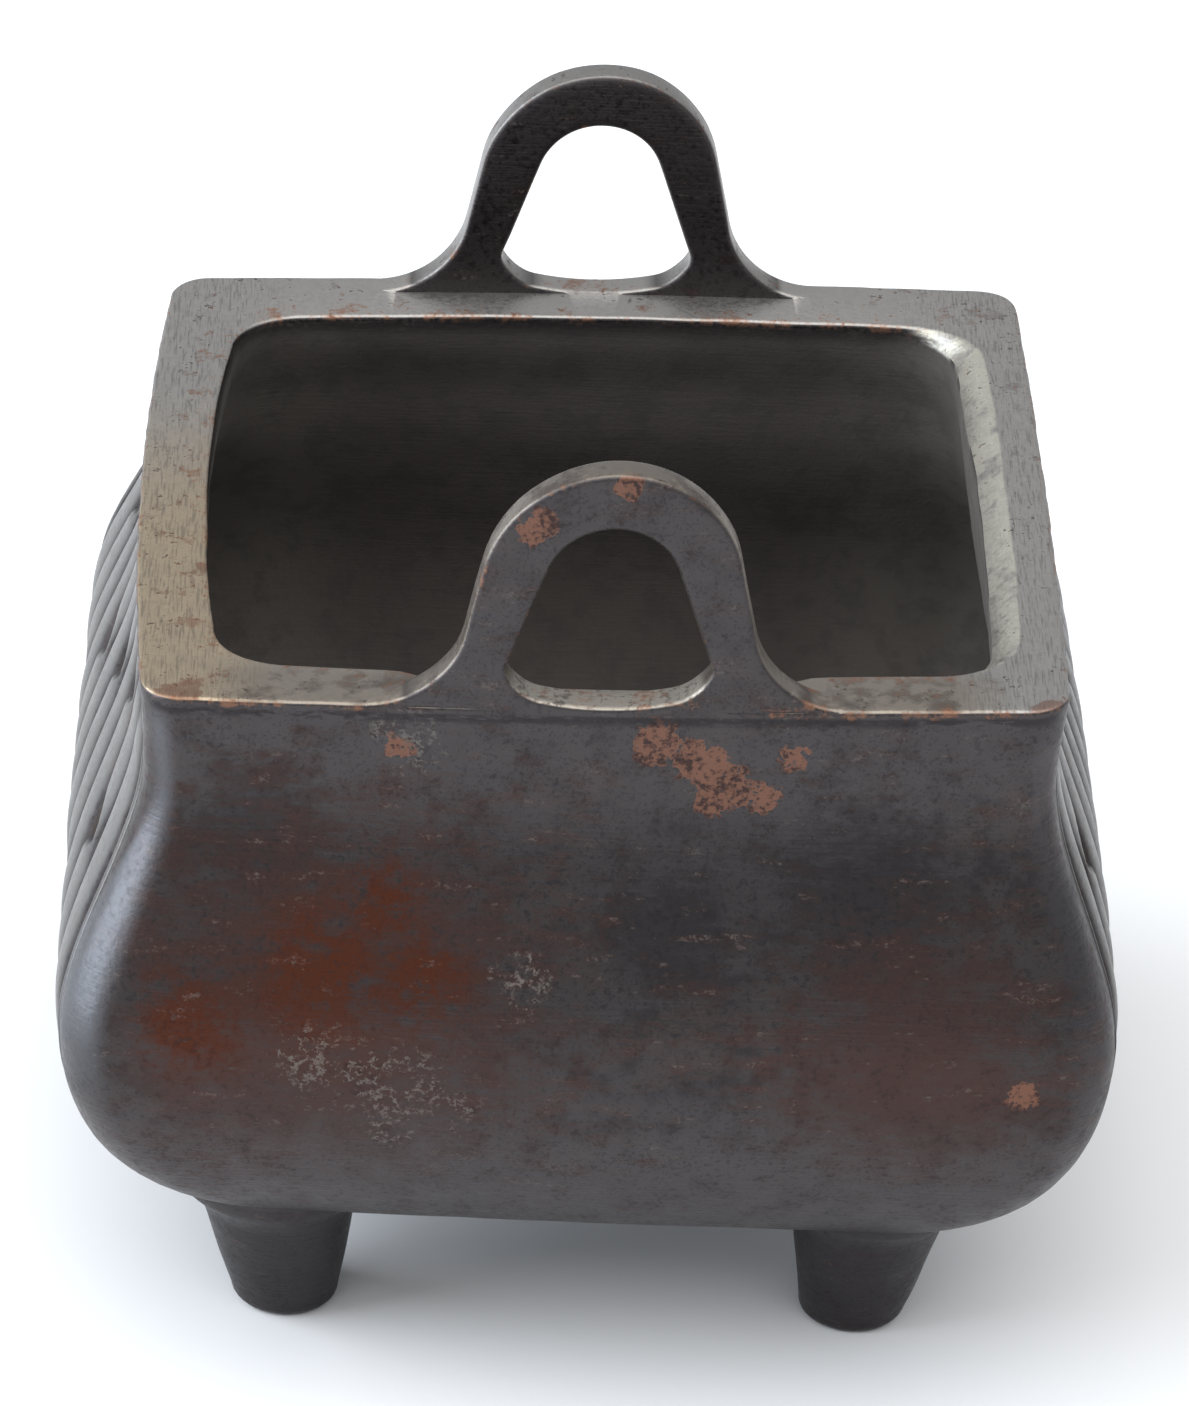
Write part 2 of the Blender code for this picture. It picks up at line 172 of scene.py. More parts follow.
class BurnerCarvingSizes(bpy.types.PropertyGroup):
    """The ribs carved into the left and the right side."""

    top: length("Top", 5.0, "From the rim down to the panel")
    bottom: length("Bottom", 35.0, "From the rim down to the panel's lower end")
    margin: length("Margin", 0.2, "Plain strip between the corner and the border")
    top_fade: share("Top fade", 0.10, "Share of the panel over which the carving starts")
    bottom_fade: share("Bottom fade", 0.16, "Share of the panel over which it ends")
    border_width: length("Border width", 0.7, "Width of the raised border")
    border_slope: length("Border slope", 0.25, "Width of the border's rounded sides")
    border_relief: length("Border relief", 0.15, "Height of the border")
    groove_width: length("Groove width", 0.8, "Width of the groove inside the border")
    groove_depth: length("Groove depth", 0.5, "Depth of that groove")
    rib_pitch: length("Rib pitch", 5.2, "Distance between ribs")
    rib_relief: length("Rib relief", 0.9, "Height of a rib above its valley")
    rib_valley: share("Rib valley", 0.54, "Share of that height that lies below the plain side")
    rib_width: share("Rib width", 0.94, "A rib's width as a share of the pitch")
    rib_lean: length("Rib lean", 1.0, "How far a rib leans over the panel's height")
    rib_wave: length("Rib wave", 0.8, "How far a rib waves to either side")
    rib_tip_length: length("Rib tip length", 5.0, "Length over which a rib narrows to a tip")
    rib_tip_width: share("Rib tip width", 0.22, "Width of a tip as a share of the rib's")
    sliver_relief: length("Sliver relief", 0.32, "Height of the slivers between rib tips")


class BurnerFinish(bpy.types.PropertyGroup):
    """The patina, the worn metal under it, and the painted highlights, reflections and shade."""

    patina: colour("Patina", (0.053, 0.048, 0.049), "Charcoal-brown patina")
    patina_dark: colour("Dark patina", (0.025, 0.023, 0.025), "Its darker clouds")
    patina_warm: colour("Warm patina", (0.062, 0.049, 0.047), "Its brown clouds")
    # Paler patina at the neck, and a painted reflection of the floor on the lower belly.
    paler_patina_and_painted_reflection: colour("Dusty patina", (0.080, 0.072, 0.074), "The paler neck and underside")
    # Painted highlight: this pale colour on the bowl's corners stands in for light catching them.
    painted_corner_highlight: colour("Corner sheen", (0.17, 0.18, 0.20), "The rubbed corners of the bowl")
    ruddy: colour("Ruddy patina", (0.058, 0.034, 0.030), "Patina with red oxide in it")
    red_brown: colour("Red-brown", (0.080, 0.022, 0.010), "Red-brown oxide on the belly")
    rubbed: colour("Rubbed ridges", (0.24, 0.235, 0.23), "Carved ridges rubbed paler")
    copper: colour("Copper", (0.20, 0.095, 0.063), "Bare metal in worn patches")
    worn_edge: colour("Worn edge", (0.34, 0.17, 0.10), "Bare metal along worn edges")
    # The left side's warmer, paler colour is partly a painted reflection of the light on the left.
    filed: colour("Filed rim", (0.45, 0.365, 0.265), "Filed metal of the rim's left side")
    filed_grey: colour("Grey rim", (0.37, 0.355, 0.34), "Filed metal of the rim's right side")
    # This brightness is partly a painted reflection of the light on the left.
    bevel: colour("Mouth bevel", (0.60, 0.58, 0.50), "Bright filed metal on the mouth's right side")
    mineral: colour("Mineral", (0.36, 0.33, 0.29), "Pale mineral crust")
    soot: colour("Soot", (0.050, 0.040, 0.034), "Dirt in the carving's valleys")
    inside: colour("Inside", (0.066, 0.057, 0.053), "The dull inside")


class BurnerStage(bpy.types.PropertyGroup):
    """The floor, the lights and the camera."""

    floor_size: length("Floor size", 4000, "Side of the floor")
    floor_colour: colour("Floor colour", (0.86, 0.87, 0.89), "Pale floor")
    lens: number("Lens", 187.07, "Focal length on a 36 mm sensor, in millimetres")
    camera_pitch: angle("Camera pitch", 30.0, "How far the camera looks down")
    camera_yaw: angle("Camera yaw", 2.311, "How far it looks toward +X")
    camera_roll: angle("Camera roll", 3.057, "How far it is turned about its own line of sight")


class BurnerSettings(bpy.types.PropertyGroup):
    """Everything that a user would change."""

    bowl: PointerProperty(type=BurnerBowlSizes)
    handle: PointerProperty(type=BurnerHandleSizes)
    foot: PointerProperty(type=BurnerFootSizes)
    carving: PointerProperty(type=BurnerCarvingSizes)
    finish: PointerProperty(type=BurnerFinish)
    stage: PointerProperty(type=BurnerStage)


# Where the camera stands, and the point that the lamps look at
CAMERA_PLACE = Vector((-17.143, -435.505, 287.841)) * MM
LAMP_TARGET = Vector((0.0, 0.0, 30.0)) * MM

# The noise that makes the cast skin uneven starts from the clock unless it is given a seed
NOISE_SEED = 7

# Where along the panel the ribs narrow to a tip, taken in turn from front to back
RIB_TIPS = (0.95, 0.40, 0.16, 0.66, 0.28)

# A rib's section: 2 is a true oval and more is squarer
RIB_FULLNESS = 2.4

# A tip's sideways shift and height, and the place and width of the sliver beside it, as shares of a rib's
TIP_SHIFT = 0.35
TIP_HEIGHT = 0.75
SLIVER_PLACE = 0.45
SLIVER_WIDTH = 0.40

# A level drawn in a long way keeps at least this corner radius
SMALLEST_CORNER = 0.0001

# How finely the casting is faceted
EDGE_FACETS = 3
RIB_FACETS = 14
BORDER_FACETS = 3
GROOVE_FACETS = 5
CORNER_FACETS = 10
PLAIN_SIDE_FACETS = 60
INSIDE_SIDE_FACETS = 40
ARCH_FACETS = 36
FLARE_FACETS = 22
LEG_FACETS = 4
OPENING_TOP_FACETS = 20
OPENING_CORNER_FACETS = 12
OPENING_SIDE_FACETS = 6
SILL_FACETS = 8
FOOT_FACETS = 40
SOLE_FACETS = 6

# Levels of the outside from the rim down, of the inside and of a foot
NECK_LEVELS = 11
SHOULDER_LEVELS = 42
BELLY_LEVELS = 26
UNDERSIDE_LEVELS = 15
MOUTH_LEVELS = 9
INSIDE_LEVELS = 12
INSIDE_FLOOR_LEVELS = 14
FOOT_LEVELS = 14

# The turn round the belly at which its finer levels end, 0 at the widest and 1 underneath
FINE_TURN = 0.42

# Rings of the flat underside and floor, as shares of the way out to their edge
CAP_SHARES = (0.15, 0.45, 0.75)

# How far shapes stray from true, and over what length
SWELL_LENGTH = 13 * MM
GRAIN_LENGTH = 3.5 * MM
RIM_WEAR = 0.1 * MM
RIM_WEAR_LENGTH = 1.6 * MM
MOUTH_STRAY = 0.12 * MM
MOUTH_STRAY_LENGTH = 4.5 * MM
INSIDE_STRAY = 0.3 * MM
INSIDE_STRAY_LENGTH = 14 * MM
HANDLE_STRAY = 0.12 * MM
HANDLE_STRAY_LENGTH = 6 * MM
FOOT_STRAY = 0.14 * MM
FOOT_STRAY_LENGTH = 5 * MM

# How far up the sill's curve fades, how wide a handle's inner border is and how deep its roots sink in
SMILE_HEIGHT = 4 * MM
HANDLE_INSET = 0.45 * MM
ROOT_SINK = 0.45 * MM

# Edges begin to wear at half the first angle, are shaded sharp past the second and bevelled past the third
WORN_ANGLE = math.radians(17)
SHARP_ANGLE = math.radians(50)
BEVEL_ANGLE = math.radians(70)

# The outside's skin, carving included, is nowhere thicker than this
SKIN_DEPTH = 2.2 * MM

# Below the rim's top, where the inside starts and how far it fades in, and how far wear spreads
INSIDE_FROM = 0.2 * MM
INSIDE_FADE = 2.0 * MM
WEAR_REACH = 0.5 * MM

# Places in millimetres and radii of the marks that the burner has gathered
CLOUDS = {
    "dark": (
        ((18.0, -32.0, 40.5), 12.0),
        ((5.0, -33.0, 38.0), 8.0),
        ((-22.0, -31.0, 43.5), 9.0),
    ),
    "ruddy": (
        ((-18.0, -34.0, 31.0), 26.0),
        ((21.0, -34.0, 29.0), 17.0),
    ),
    "red": (
        ((-17.5, -33.7, 34.5), 9.5),
        ((-11.5, -33.8, 34.5), 6.5),
        ((-26.0, -36.5, 31.5), 8.0),
        ((-14.0, -32.5, 39.5), 5.5),
    ),
    "crust": (
        ((-18.0, -35.5, 28.6), 4.5),
        ((-12.0, -35.7, 26.2), 6.5),
        ((-4.8, -34.4, 34.8), 3.0),
        ((-12.5, -30.7, 50.5), 4.0),
    ),
    "rust": (
        ((-27.5, -29.8, 52.9), 3.4),
        ((-27.0, -13.0, 53.0), 2.2),
        ((28.6, -29.6, 54.0), 2.8),
    ),
}
COPPER_PATCHES = (
    ((3.4, -30.6, 51.0), 2.4),
    ((6.8, -30.6, 49.6), 3.3),
    ((7.6, -30.6, 47.4), 2.8),
    ((10.6, -30.6, 47.0), 2.0),
    ((12.6, -30.6, 50.2), 1.9),
    ((-13.4, -30.6, 49.8), 1.8),
    ((-5.3, -30.6, 66.6), 2.0),
    ((0.5, -30.6, 69.9), 1.7),
    ((28.4, -35.0, 28.0), 1.8),
)


def blend(start, end, amount):
    return start + (end - start) * amount


def smooth_step(amount):
    amount = min(max(amount, 0.0), 1.0)
    return amount * amount * (3 - 2 * amount)


# The bowl's levels


class Section:
    """One level of the bowl, a rounded square whose sides bow out."""

    def __init__(self, drop, half_side, corner, bow):
        self.drop = drop
        self.half_side = half_side
        self.corner = corner
        self.bow = bow

    def shrunk(self, by, corner):
        """The same level drawn in, with its own corner radius."""
        return Section(self.drop, self.half_side - by, max(corner, SMALLEST_CORNER), self.bow)

    @property
    def run(self):
        """Half the length of a side between its corners."""
        return self.half_side - self.corner


class Bowl:
    """The bowl's shape, worked out from its sizes."""

    def __init__(self, sizes, carving):
        self.sizes = sizes
        self.carving = carving
        self.belly_side = (CAD_HIGH.y - CAD_LOW.y) - sizes.belly_bows[1] - sizes.belly_bows[3]

    def upper(self, drop):
        """From the rim over the neck and the shoulder to the belly."""
        s = self.sizes
        swell = smooth_step((drop - s.neck_drop) / (s.belly_drop - s.neck_drop))
        draw = s.neck_draw * math.sin(RIGHT_ANGLE * min(drop / s.neck_drop, 1.0)) * (1 - swell)
        return Section(
            drop,
            blend(s.rim_side, self.belly_side, swell) / 2 - draw,
            blend(s.rim_corner, s.belly_corner, smooth_step(drop / s.belly_drop)),
            [blend(rim, belly, swell) for rim, belly in zip(s.rim_bows, s.belly_bows)],
        )

    def lower(self, turn, reach, depth):
        """Round from the belly at turn 0 to the underside at turn 1."""
        s = self.sizes
        power = 2 / s.underside_fullness
        inward = reach * (1 - max(math.cos(turn * RIGHT_ANGLE), 0.0) ** power)
        down = depth * math.sin(turn * RIGHT_ANGLE) ** power
        return Section(
            s.belly_drop + down,
            self.belly_side / 2 - inward,
            blend(s.belly_corner, s.underside_corner, turn),
            [bow * (1 - turn / 2) for bow in s.belly_bows],
        )

    def half_length(self, section):
        """Half the length of the carved panel at a level."""
        return section.run - self.carving.margin

    def rib_count(self):
        c = self.carving
        belly = self.upper(self.sizes.belly_drop)
        field = 2 * (self.half_length(belly) - c.border_width - c.groove_width)
        return max(round(field / c.rib_pitch), 2)


def panel_share(bowl, drop):
    """How far down the panel a level is, 0 at its top and 1 at its bottom."""
    return (drop - bowl.carving.top) / (bowl.carving.bottom - bowl.carving.top)


def rib_height(carving, rib, phase, down):
    """A broad rounded rib between narrow valleys, which narrows to a tip and swells again once."""
    span = (down - RIB_TIPS[rib % len(RIB_TIPS)]) * (carving.bottom - carving.top)
    reach = carving.rib_tip_length if span < 0 else carving.rib_tip_length / 3
    narrow = smooth_step(1 - abs(span) / reach) ** 1.5
    width = carving.rib_width * blend(1.0, carving.rib_tip_width, narrow)
    across = 2 * phase - 1
    offset = abs(across + TIP_SHIFT * narrow) / width
    crest = (1 - offset**RIB_FULLNESS) ** 0.5 if offset < 1 else 0.0
    height = carving.rib_relief * (crest * blend(1.0, TIP_HEIGHT, narrow) - carving.rib_valley)
    beside = (across - SLIVER_PLACE) / SLIVER_WIDTH
    sliver = math.exp(-2 * beside**2) * narrow
    return height + carving.sliver_relief * sliver


def side_columns(bowl, section):
    """(place along Y, relief) of each point of a carved side, from front to back."""
    c = bowl.carving
    half = bowl.half_length(section)
    down = panel_share(bowl, section.drop)
    clamped = min(max(down, 0.0), 1.0)
    strength = smooth_step(down / c.top_fade) * smooth_step((1 - down) / c.bottom_fade)
    inner_edge = half - c.border_width
    field = inner_edge - c.groove_width
    border = [(half + c.margin * i / BORDER_FACETS, 0.0) for i in reversed(range(BORDER_FACETS))]
    slope = [i / BORDER_FACETS for i in range(BORDER_FACETS + 1)]
    for part in slope[1:]:
        border.append((half - c.border_slope * part, c.border_relief * math.sin(RIGHT_ANGLE * part)))
    for part in reversed(slope):
        border.append((inner_edge + c.border_slope * part, c.border_relief * math.sin(RIGHT_ANGLE * part)))
    for i in range(1, GROOVE_FACETS):
        part = i / GROOVE_FACETS
        depth = c.groove_depth * math.sin(math.pi * part) ** 0.7
        border.append((inner_edge - c.groove_width * part, -depth))
    steps = bowl.rib_count() * RIB_FACETS
    ribs = []
    for step in range(steps + 1):
        rib, facet = divmod(step, RIB_FACETS)
        place = 2 * step / steps - 1
        lean = c.rib_lean * (1 / 2 - clamped) + c.rib_wave * math.sin(2 * math.pi * clamped)
        sway = lean * (1 - place**2) ** 0.8
        ribs.append((field * place + sway, rib_height(c, rib, facet / RIB_FACETS, down)))
    front = [(-section.run, 0.0)] + [(-y, relief) for y, relief in border]
    back = [(y, relief) for y, relief in reversed(border)] + [(section.run, 0.0)]
    return [(y, relief * strength) for y, relief in front + ribs + back]


def bowed(place, run, bow):
    return bow * (1 - (place / run) ** 2)


def corner_arc(x, y, radius, start_angle):
    """The points between the ends of a quarter turn, counter-clockwise."""
    angles = [start_angle + RIGHT_ANGLE * i / CORNER_FACETS for i in range(1, CORNER_FACETS)]
    return [(x + radius * math.cos(a), y + radius * math.sin(a)) for a in angles]


def plain_places(run, facets):
    """Places along a plain side, closer together toward its ends."""
    places = []
    for i in range(facets + 1):
        part = i / facets
        places.append(-run * blend(1 - 2 * part, math.cos(math.pi * part), 0.5))
    return places


def section_outline(section, columns, places):
    """The points of one level, counter-clockwise from the front end of the right side."""
    half = section.half_side
    run = section.run
    corner = section.corner
    right_bow, back_bow, left_bow, front_bow = section.bow
    points = [(half + bowed(y, run, right_bow) + relief, y) for y, relief in columns]
    points += corner_arc(run, run, corner, 0.0)
    points += [(-x, half + bowed(x, run, back_bow)) for x in places]
    points += corner_arc(-run, run, corner, RIGHT_ANGLE)
    points += [(-half - bowed(y, run, left_bow) - relief, y) for y, relief in reversed(columns)]
    points += corner_arc(-run, -run, corner, 2 * RIGHT_ANGLE)
    points += [(x, -half - bowed(x, run, front_bow)) for x in places]
    points += corner_arc(run, -run, corner, 3 * RIGHT_ANGLE)
    return points


def uneven(point, amount, size, shift):
    """Moves a point the way a cast face strays from its true shape."""
    at = point / size + Vector((shift, 0.0, 0.0))
    return point + amount * noise.noise_vector(at)


def outer_levels(bowl):
    """(section, drawn in by) of each level of the outside, from the underside up to the rim."""
    s = bowl.sizes
    depth = s.underside_drop - s.belly_drop
    turns = [blend(1.0, FINE_TURN, i / UNDERSIDE_LEVELS) for i in range(UNDERSIDE_LEVELS)]
    turns += [blend(FINE_TURN, 0.0, i / BELLY_LEVELS) for i in range(BELLY_LEVELS)]
    shoulder = [blend(s.belly_drop, s.neck_drop, i / SHOULDER_LEVELS) for i in range(SHOULDER_LEVELS)]
    neck = [blend(s.neck_drop, s.rim_edge, i / NECK_LEVELS) for i in range(NECK_LEVELS + 1)]
    flat = bowl.lower(1.0, s.underside_round, depth)
    levels = [(flat, flat.half_side * (1 - part)) for part in CAP_SHARES]
    levels += [(bowl.lower(turn, s.underside_round, depth), 0.0) for turn in turns]
    levels += [(bowl.upper(drop), 0.0) for drop in shoulder + neck]
    for i in range(1, EDGE_FACETS + 1):
        turn = RIGHT_ANGLE * i / EDGE_FACETS
        drop = s.rim_edge * (1 - math.sin(turn))
        levels.append((bowl.upper(drop), s.rim_edge * (1 - math.cos(turn))))
    levels.append((bowl.upper(0.0), 2 * s.rim_edge))
    return levels


def outer_ring(bowl, level):
    section, inset = level
    s = bowl.sizes
    corner = section.corner * (1 - inset / section.half_side) - min(inset, s.rim_edge)
    drawn = section.shrunk(inset, corner)
    columns = side_columns(bowl, drawn)
    points = []
    stray = s.unevenness * smooth_step(section.drop / (4 * s.rim_edge))
    for x, y in section_outline(drawn, columns, plain_places(drawn.run, PLAIN_SIDE_FACETS)):
        point = Vector((x, y, s.rim_height - section.drop))
        point = uneven(point, stray, SWELL_LENGTH, shift=3.0)
        point = uneven(point, stray / 4, GRAIN_LENGTH, shift=7.0)
        if section.drop < s.rim_edge * 1.01:
            wear = RIM_WEAR * noise.noise(point / RIM_WEAR_LENGTH)
            point -= Vector((x, y, 0.0)).normalized() * max(wear, -RIM_WEAR / 5)
        points.append(point)
    return points


def inner_levels(bowl):
    """(section, drawn out by) of each level of the inside, from the mouth down to the floor."""
    s = bowl.sizes
    levels = [(0.0, -s.mouth_edge)]
    for i in range(EDGE_FACETS + 1):
        turn = RIGHT_ANGLE * i / EDGE_FACETS
        levels.append((s.mouth_edge * (1 - math.cos(turn)), -s.mouth_edge * (1 - math.sin(turn))))
    for i in range(1, MOUTH_LEVELS + 1):
        levels.append((blend(s.mouth_edge, s.recess_drop, i / MOUTH_LEVELS), 0.0))
    for i in range(1, INSIDE_LEVELS + 1):
        levels.append((blend(s.recess_drop, s.belly_drop, i / INSIDE_LEVELS), 0.0))
    sections = []
    for drop, inset in levels:
        wall = blend(s.rim_flat, s.wall, smooth_step(drop / s.lip_drop))
        sections.append(bowl.upper(drop).shrunk(wall + inset, s.mouth_corner - inset))
    depth = s.underside_drop - s.floor - s.belly_drop
    reach = s.underside_round - s.wall / 2
    for i in range(1, INSIDE_FLOOR_LEVELS + 1):
        section = bowl.lower(i / INSIDE_FLOOR_LEVELS, reach, depth)
        sections.append(section.shrunk(s.wall, s.mouth_corner))
    last = sections[-1]
    for part in reversed(CAP_SHARES):
        sections.append(last.shrunk(last.half_side * (1 - part), s.mouth_corner * part))
    return sections


def inner_ring(bowl, section):
    """A level of the inside, with the mouth's right bevel, front recess and wider back flat."""
    s = bowl.sizes
    half = section.half_side
    places = plain_places(section.run, INSIDE_SIDE_FACETS)
    bevel = s.mouth_bevel * max(1 - section.drop / s.mouth_bevel_drop, 0.0)
    back = (s.back_flat - s.rim_flat) * (1 - smooth_step(section.drop / s.lip_drop))
    recess = s.recess * (1 - smooth_step(section.drop / s.recess_drop))
    points = []
    for x, y in section_outline(section, [(place, 0.0) for place in places], places):
        beside = (abs(x) - s.recess_width / 2) / s.recess_fade
        point = Vector((x, y, s.rim_height - section.drop))
        point.x += bevel * smooth_step(2 * x / half - 1)
        point.y -= back * smooth_step(2 * y / half - 1)
        point.y -= recess * smooth_step(1 - beside) * smooth_step(-2 * y / half - 1)
        level = smooth_step(section.drop / (2 * MM))
        stray = MOUTH_STRAY * noise.noise_vector(point / MOUTH_STRAY_LENGTH)
        point += Vector((stray.x, stray.y, stray.z * level))
        point += INSIDE_STRAY * level * noise.noise_vector(point / INSIDE_STRAY_LENGTH)
        points.append(point)
    return points


# Modelling helpers


def ring_edges(mesh, ring):
    return [mesh.edges.get((ring[i - 1], ring[i])) for i in range(len(ring))]


def start_ring(mesh, points, capped):
    """A circle with its vertices moved to the points, in their order."""
    ring = bmesh.ops.create_circle(mesh, cap_ends=capped, segments=len(points), radius=1.0)["verts"]
    for vert, point in zip(ring, points):
        vert.co = point
    return ring


def extrude_ring(mesh, ring, points):
    """Extrudes the ring's edges and moves the new ring to the points."""
    made = bmesh.ops.extrude_edge_only(mesh, edges=ring_edges(mesh, ring))["geom"]
    new = {item for item in made if isinstance(item, bmesh.types.BMVert)}
    moved = []
    for vert, point in zip(ring, points):
        twin = next(edge.other_vert(vert) for edge in vert.link_edges if edge.other_vert(vert) in new)
        twin.co = point
        moved.append(twin)
    return moved


def loft(mesh, rings, cap_start, cap_end):
    """A skin through rings of as many points each. Returns its first and last vertices."""
    first = ring = start_ring(mesh, rings[0], cap_start)
    for points in rings[1:]:
        ring = extrude_ring(mesh, ring, points)
    if cap_end:
        bmesh.ops.edgeloop_fill(mesh, edges=ring_edges(mesh, ring))
    return first, ring


def deepening(sizes):
    """The belly's height, and how much heights from it are stretched for each unit of X."""
    return sizes.rim_height - sizes.belly_drop, sizes.rim_rise / (sizes.belly_drop * sizes.rim_side / 2)


def deepen_right(mesh, bowl):
    """Stretches heights from the belly's toward the right side and squeezes them on the left."""
    middle, slope = deepening(bowl.sizes)
    for vert in mesh.verts:
        vert.co.z += (vert.co.z - middle) * slope * vert.co.x


def store(mesh, name):
    """Keeps a closed bmesh as an object, with its faces pointing out."""
    bmesh.ops.triangulate(mesh, faces=mesh.faces)
    bmesh.ops.recalc_face_normals(mesh, faces=mesh.faces)
    data = bpy.data.meshes.new(name)
    mesh.to_mesh(data)
    mesh.free()
    obj = bpy.data.objects.new(name, data)
    bpy.context.scene.collection.objects.link(obj)
    return obj


# The casting's shapes


def make_bowl(settings):
    bowl = Bowl(settings.bowl, settings.carving)
    mesh = bmesh.new()
    outside = [outer_ring(bowl, level) for level in outer_levels(bowl)]
    inside = [inner_ring(bowl, section) for section in inner_levels(bowl)]
    rim_outer = loft(mesh, outside, True, False)[1]
    rim_inner = loft(mesh, inside, False, True)[0]
    edges = ring_edges(mesh, rim_outer) + ring_edges(mesh, rim_inner)
    bmesh.ops.triangle_fill(mesh, edges=edges, use_beauty=True)
    deepen_right(mesh, bowl)
    return store(mesh, "bowl_shape")


def arc_points(x, z, radius, start_angle, end_angle, facets):
    angles = [blend(start_angle, end_angle, i / facets) for i in range(facets + 1)]
    return [(x + radius * math.cos(a), z + radius * math.sin(a)) for a in angles]


def between(first, second, facets):
    """The points of a straight stretch, without its ends."""
    parts = [i / facets for i in range(1, facets)]
    return [(blend(first[0], second[0], part), blend(first[1], second[1], part)) for part in parts]


def mirrored_outline(half):
    """A closed outline from its right half, which runs from the top middle downward."""
    return half + [(-x, z) for x, z in reversed(half[1:])]


def handle_outline(handle, rise):
    """The arch, its leaning legs and the flare where it grows out of the rim."""
    radius = handle.width / 2
    lean = handle.leg_lean
    flare = handle.flare
    half = arc_points(0.0, rise - radius, radius, RIGHT_ANGLE, lean, ARCH_FACETS)
    leg_x, leg_z = half[-1]
    flare_x = leg_x + (flare - (flare - leg_z) * math.sin(lean)) / math.cos(lean)
    arc = arc_points(flare_x, flare, flare, math.pi + lean, 3 * RIGHT_ANGLE, FLARE_FACETS)
    half += between(half[-1], arc[0], LEG_FACETS) + arc + [(flare_x, -handle.root)]
    return mirrored_outline(half)


def opening_outline(handle):
    """The rounded triangle that the handle is open to."""
    radius = handle.opening_top_radius
    lean = handle.opening_lean
    corner = handle.opening_corner
    half = arc_points(0.0, handle.opening_top - radius, radius, RIGHT_ANGLE, lean, OPENING_TOP_FACETS)
    side_x, side_z = half[-1]
    corner_z = handle.opening_sill + corner
    corner_x = side_x - (corner + (corner_z - side_z) * math.sin(lean)) / math.cos(lean)
    arc = arc_points(corner_x, corner_z, corner, lean, -RIGHT_ANGLE, OPENING_CORNER_FACETS)
    half += between(half[-1], arc[0], OPENING_SIDE_FACETS) + arc
    half += between((corner_x, handle.opening_sill), (0.0, handle.opening_sill), SILL_FACETS)
    smile = []
    for x, z in half:
        near_sill = smooth_step(1 - z / SMILE_HEIGHT)
        smile.append((x, z + handle.sill_rise * (x / corner_x) ** 2 * near_sill))
    return mirrored_outline(smile)


def make_handle(settings, name, facing, bow):
    """A loop handle on the front wall, facing -1, or on the back wall, facing 1."""
    bowl = Bowl(settings.bowl, settings.carving)
    handle = settings.handle
    rise = CAD_HIGH.z - settings.bowl.rim_height
    mesh = bmesh.new()
    edges = []
    for outline in (handle_outline(handle, rise), opening_outline(handle)):
        edges += ring_edges(mesh, start_ring(mesh, [Vector((x, 0.0, z)) for x, z in outline], False))
    bmesh.ops.triangle_fill(mesh, edges=edges, use_beauty=True)
    made = bmesh.ops.extrude_face_region(mesh, geom=mesh.faces[:] + mesh.edges[:] + mesh.verts[:])
    inner = [item for item in made["geom"] if isinstance(item, bmesh.types.BMVert)]
    bmesh.ops.translate(mesh, verts=inner, vec=(0.0, handle.thickness, 0.0))
    bmesh.ops.recalc_face_normals(mesh, faces=mesh.faces)
    corners = [edge for edge in mesh.edges if edge.calc_face_angle(0.0) > BEVEL_ANGLE]
    bmesh.ops.bevel(
        mesh,
        geom=corners,
        offset=handle.edge,
        segments=EDGE_FACETS,
        profile=0.5,
        affect="EDGES",
        material=-1,
    )
    flat = [face for face in mesh.faces if abs(face.normal.y) > 0.99]
    bmesh.ops.inset_region(mesh, faces=flat, thickness=HANDLE_INSET, use_even_offset=True)
    half_side = settings.bowl.rim_side / 2
    run = half_side - settings.bowl.rim_corner
    # Its legs stand a hair proud of the wall and its flared ends and roots sink in, so no faces coincide
    for vert in mesh.verts:
        below = smooth_step(-vert.co.z / handle.root)
        aside = smooth_step((abs(vert.co.x) - 7 * MM) / (5 * MM))
        sunk = blend(-0.02 * MM, 0.06 * MM, aside) + ROOT_SINK * below
        face_y = half_side + bowed(vert.co.x, run, bow) - sunk
        vert.co.y = facing * (face_y - vert.co.y)
        vert.co.z += settings.bowl.rim_height
        above = smooth_step((vert.co.z - settings.bowl.rim_height) / (3 * MM))
        stray = noise.noise_vector(vert.co / HANDLE_STRAY_LENGTH)
        vert.co += above * HANDLE_STRAY * Vector((stray.x, stray.y / 2, stray.z / 2))
    deepen_right(mesh, bowl)
    return store(mesh, name)


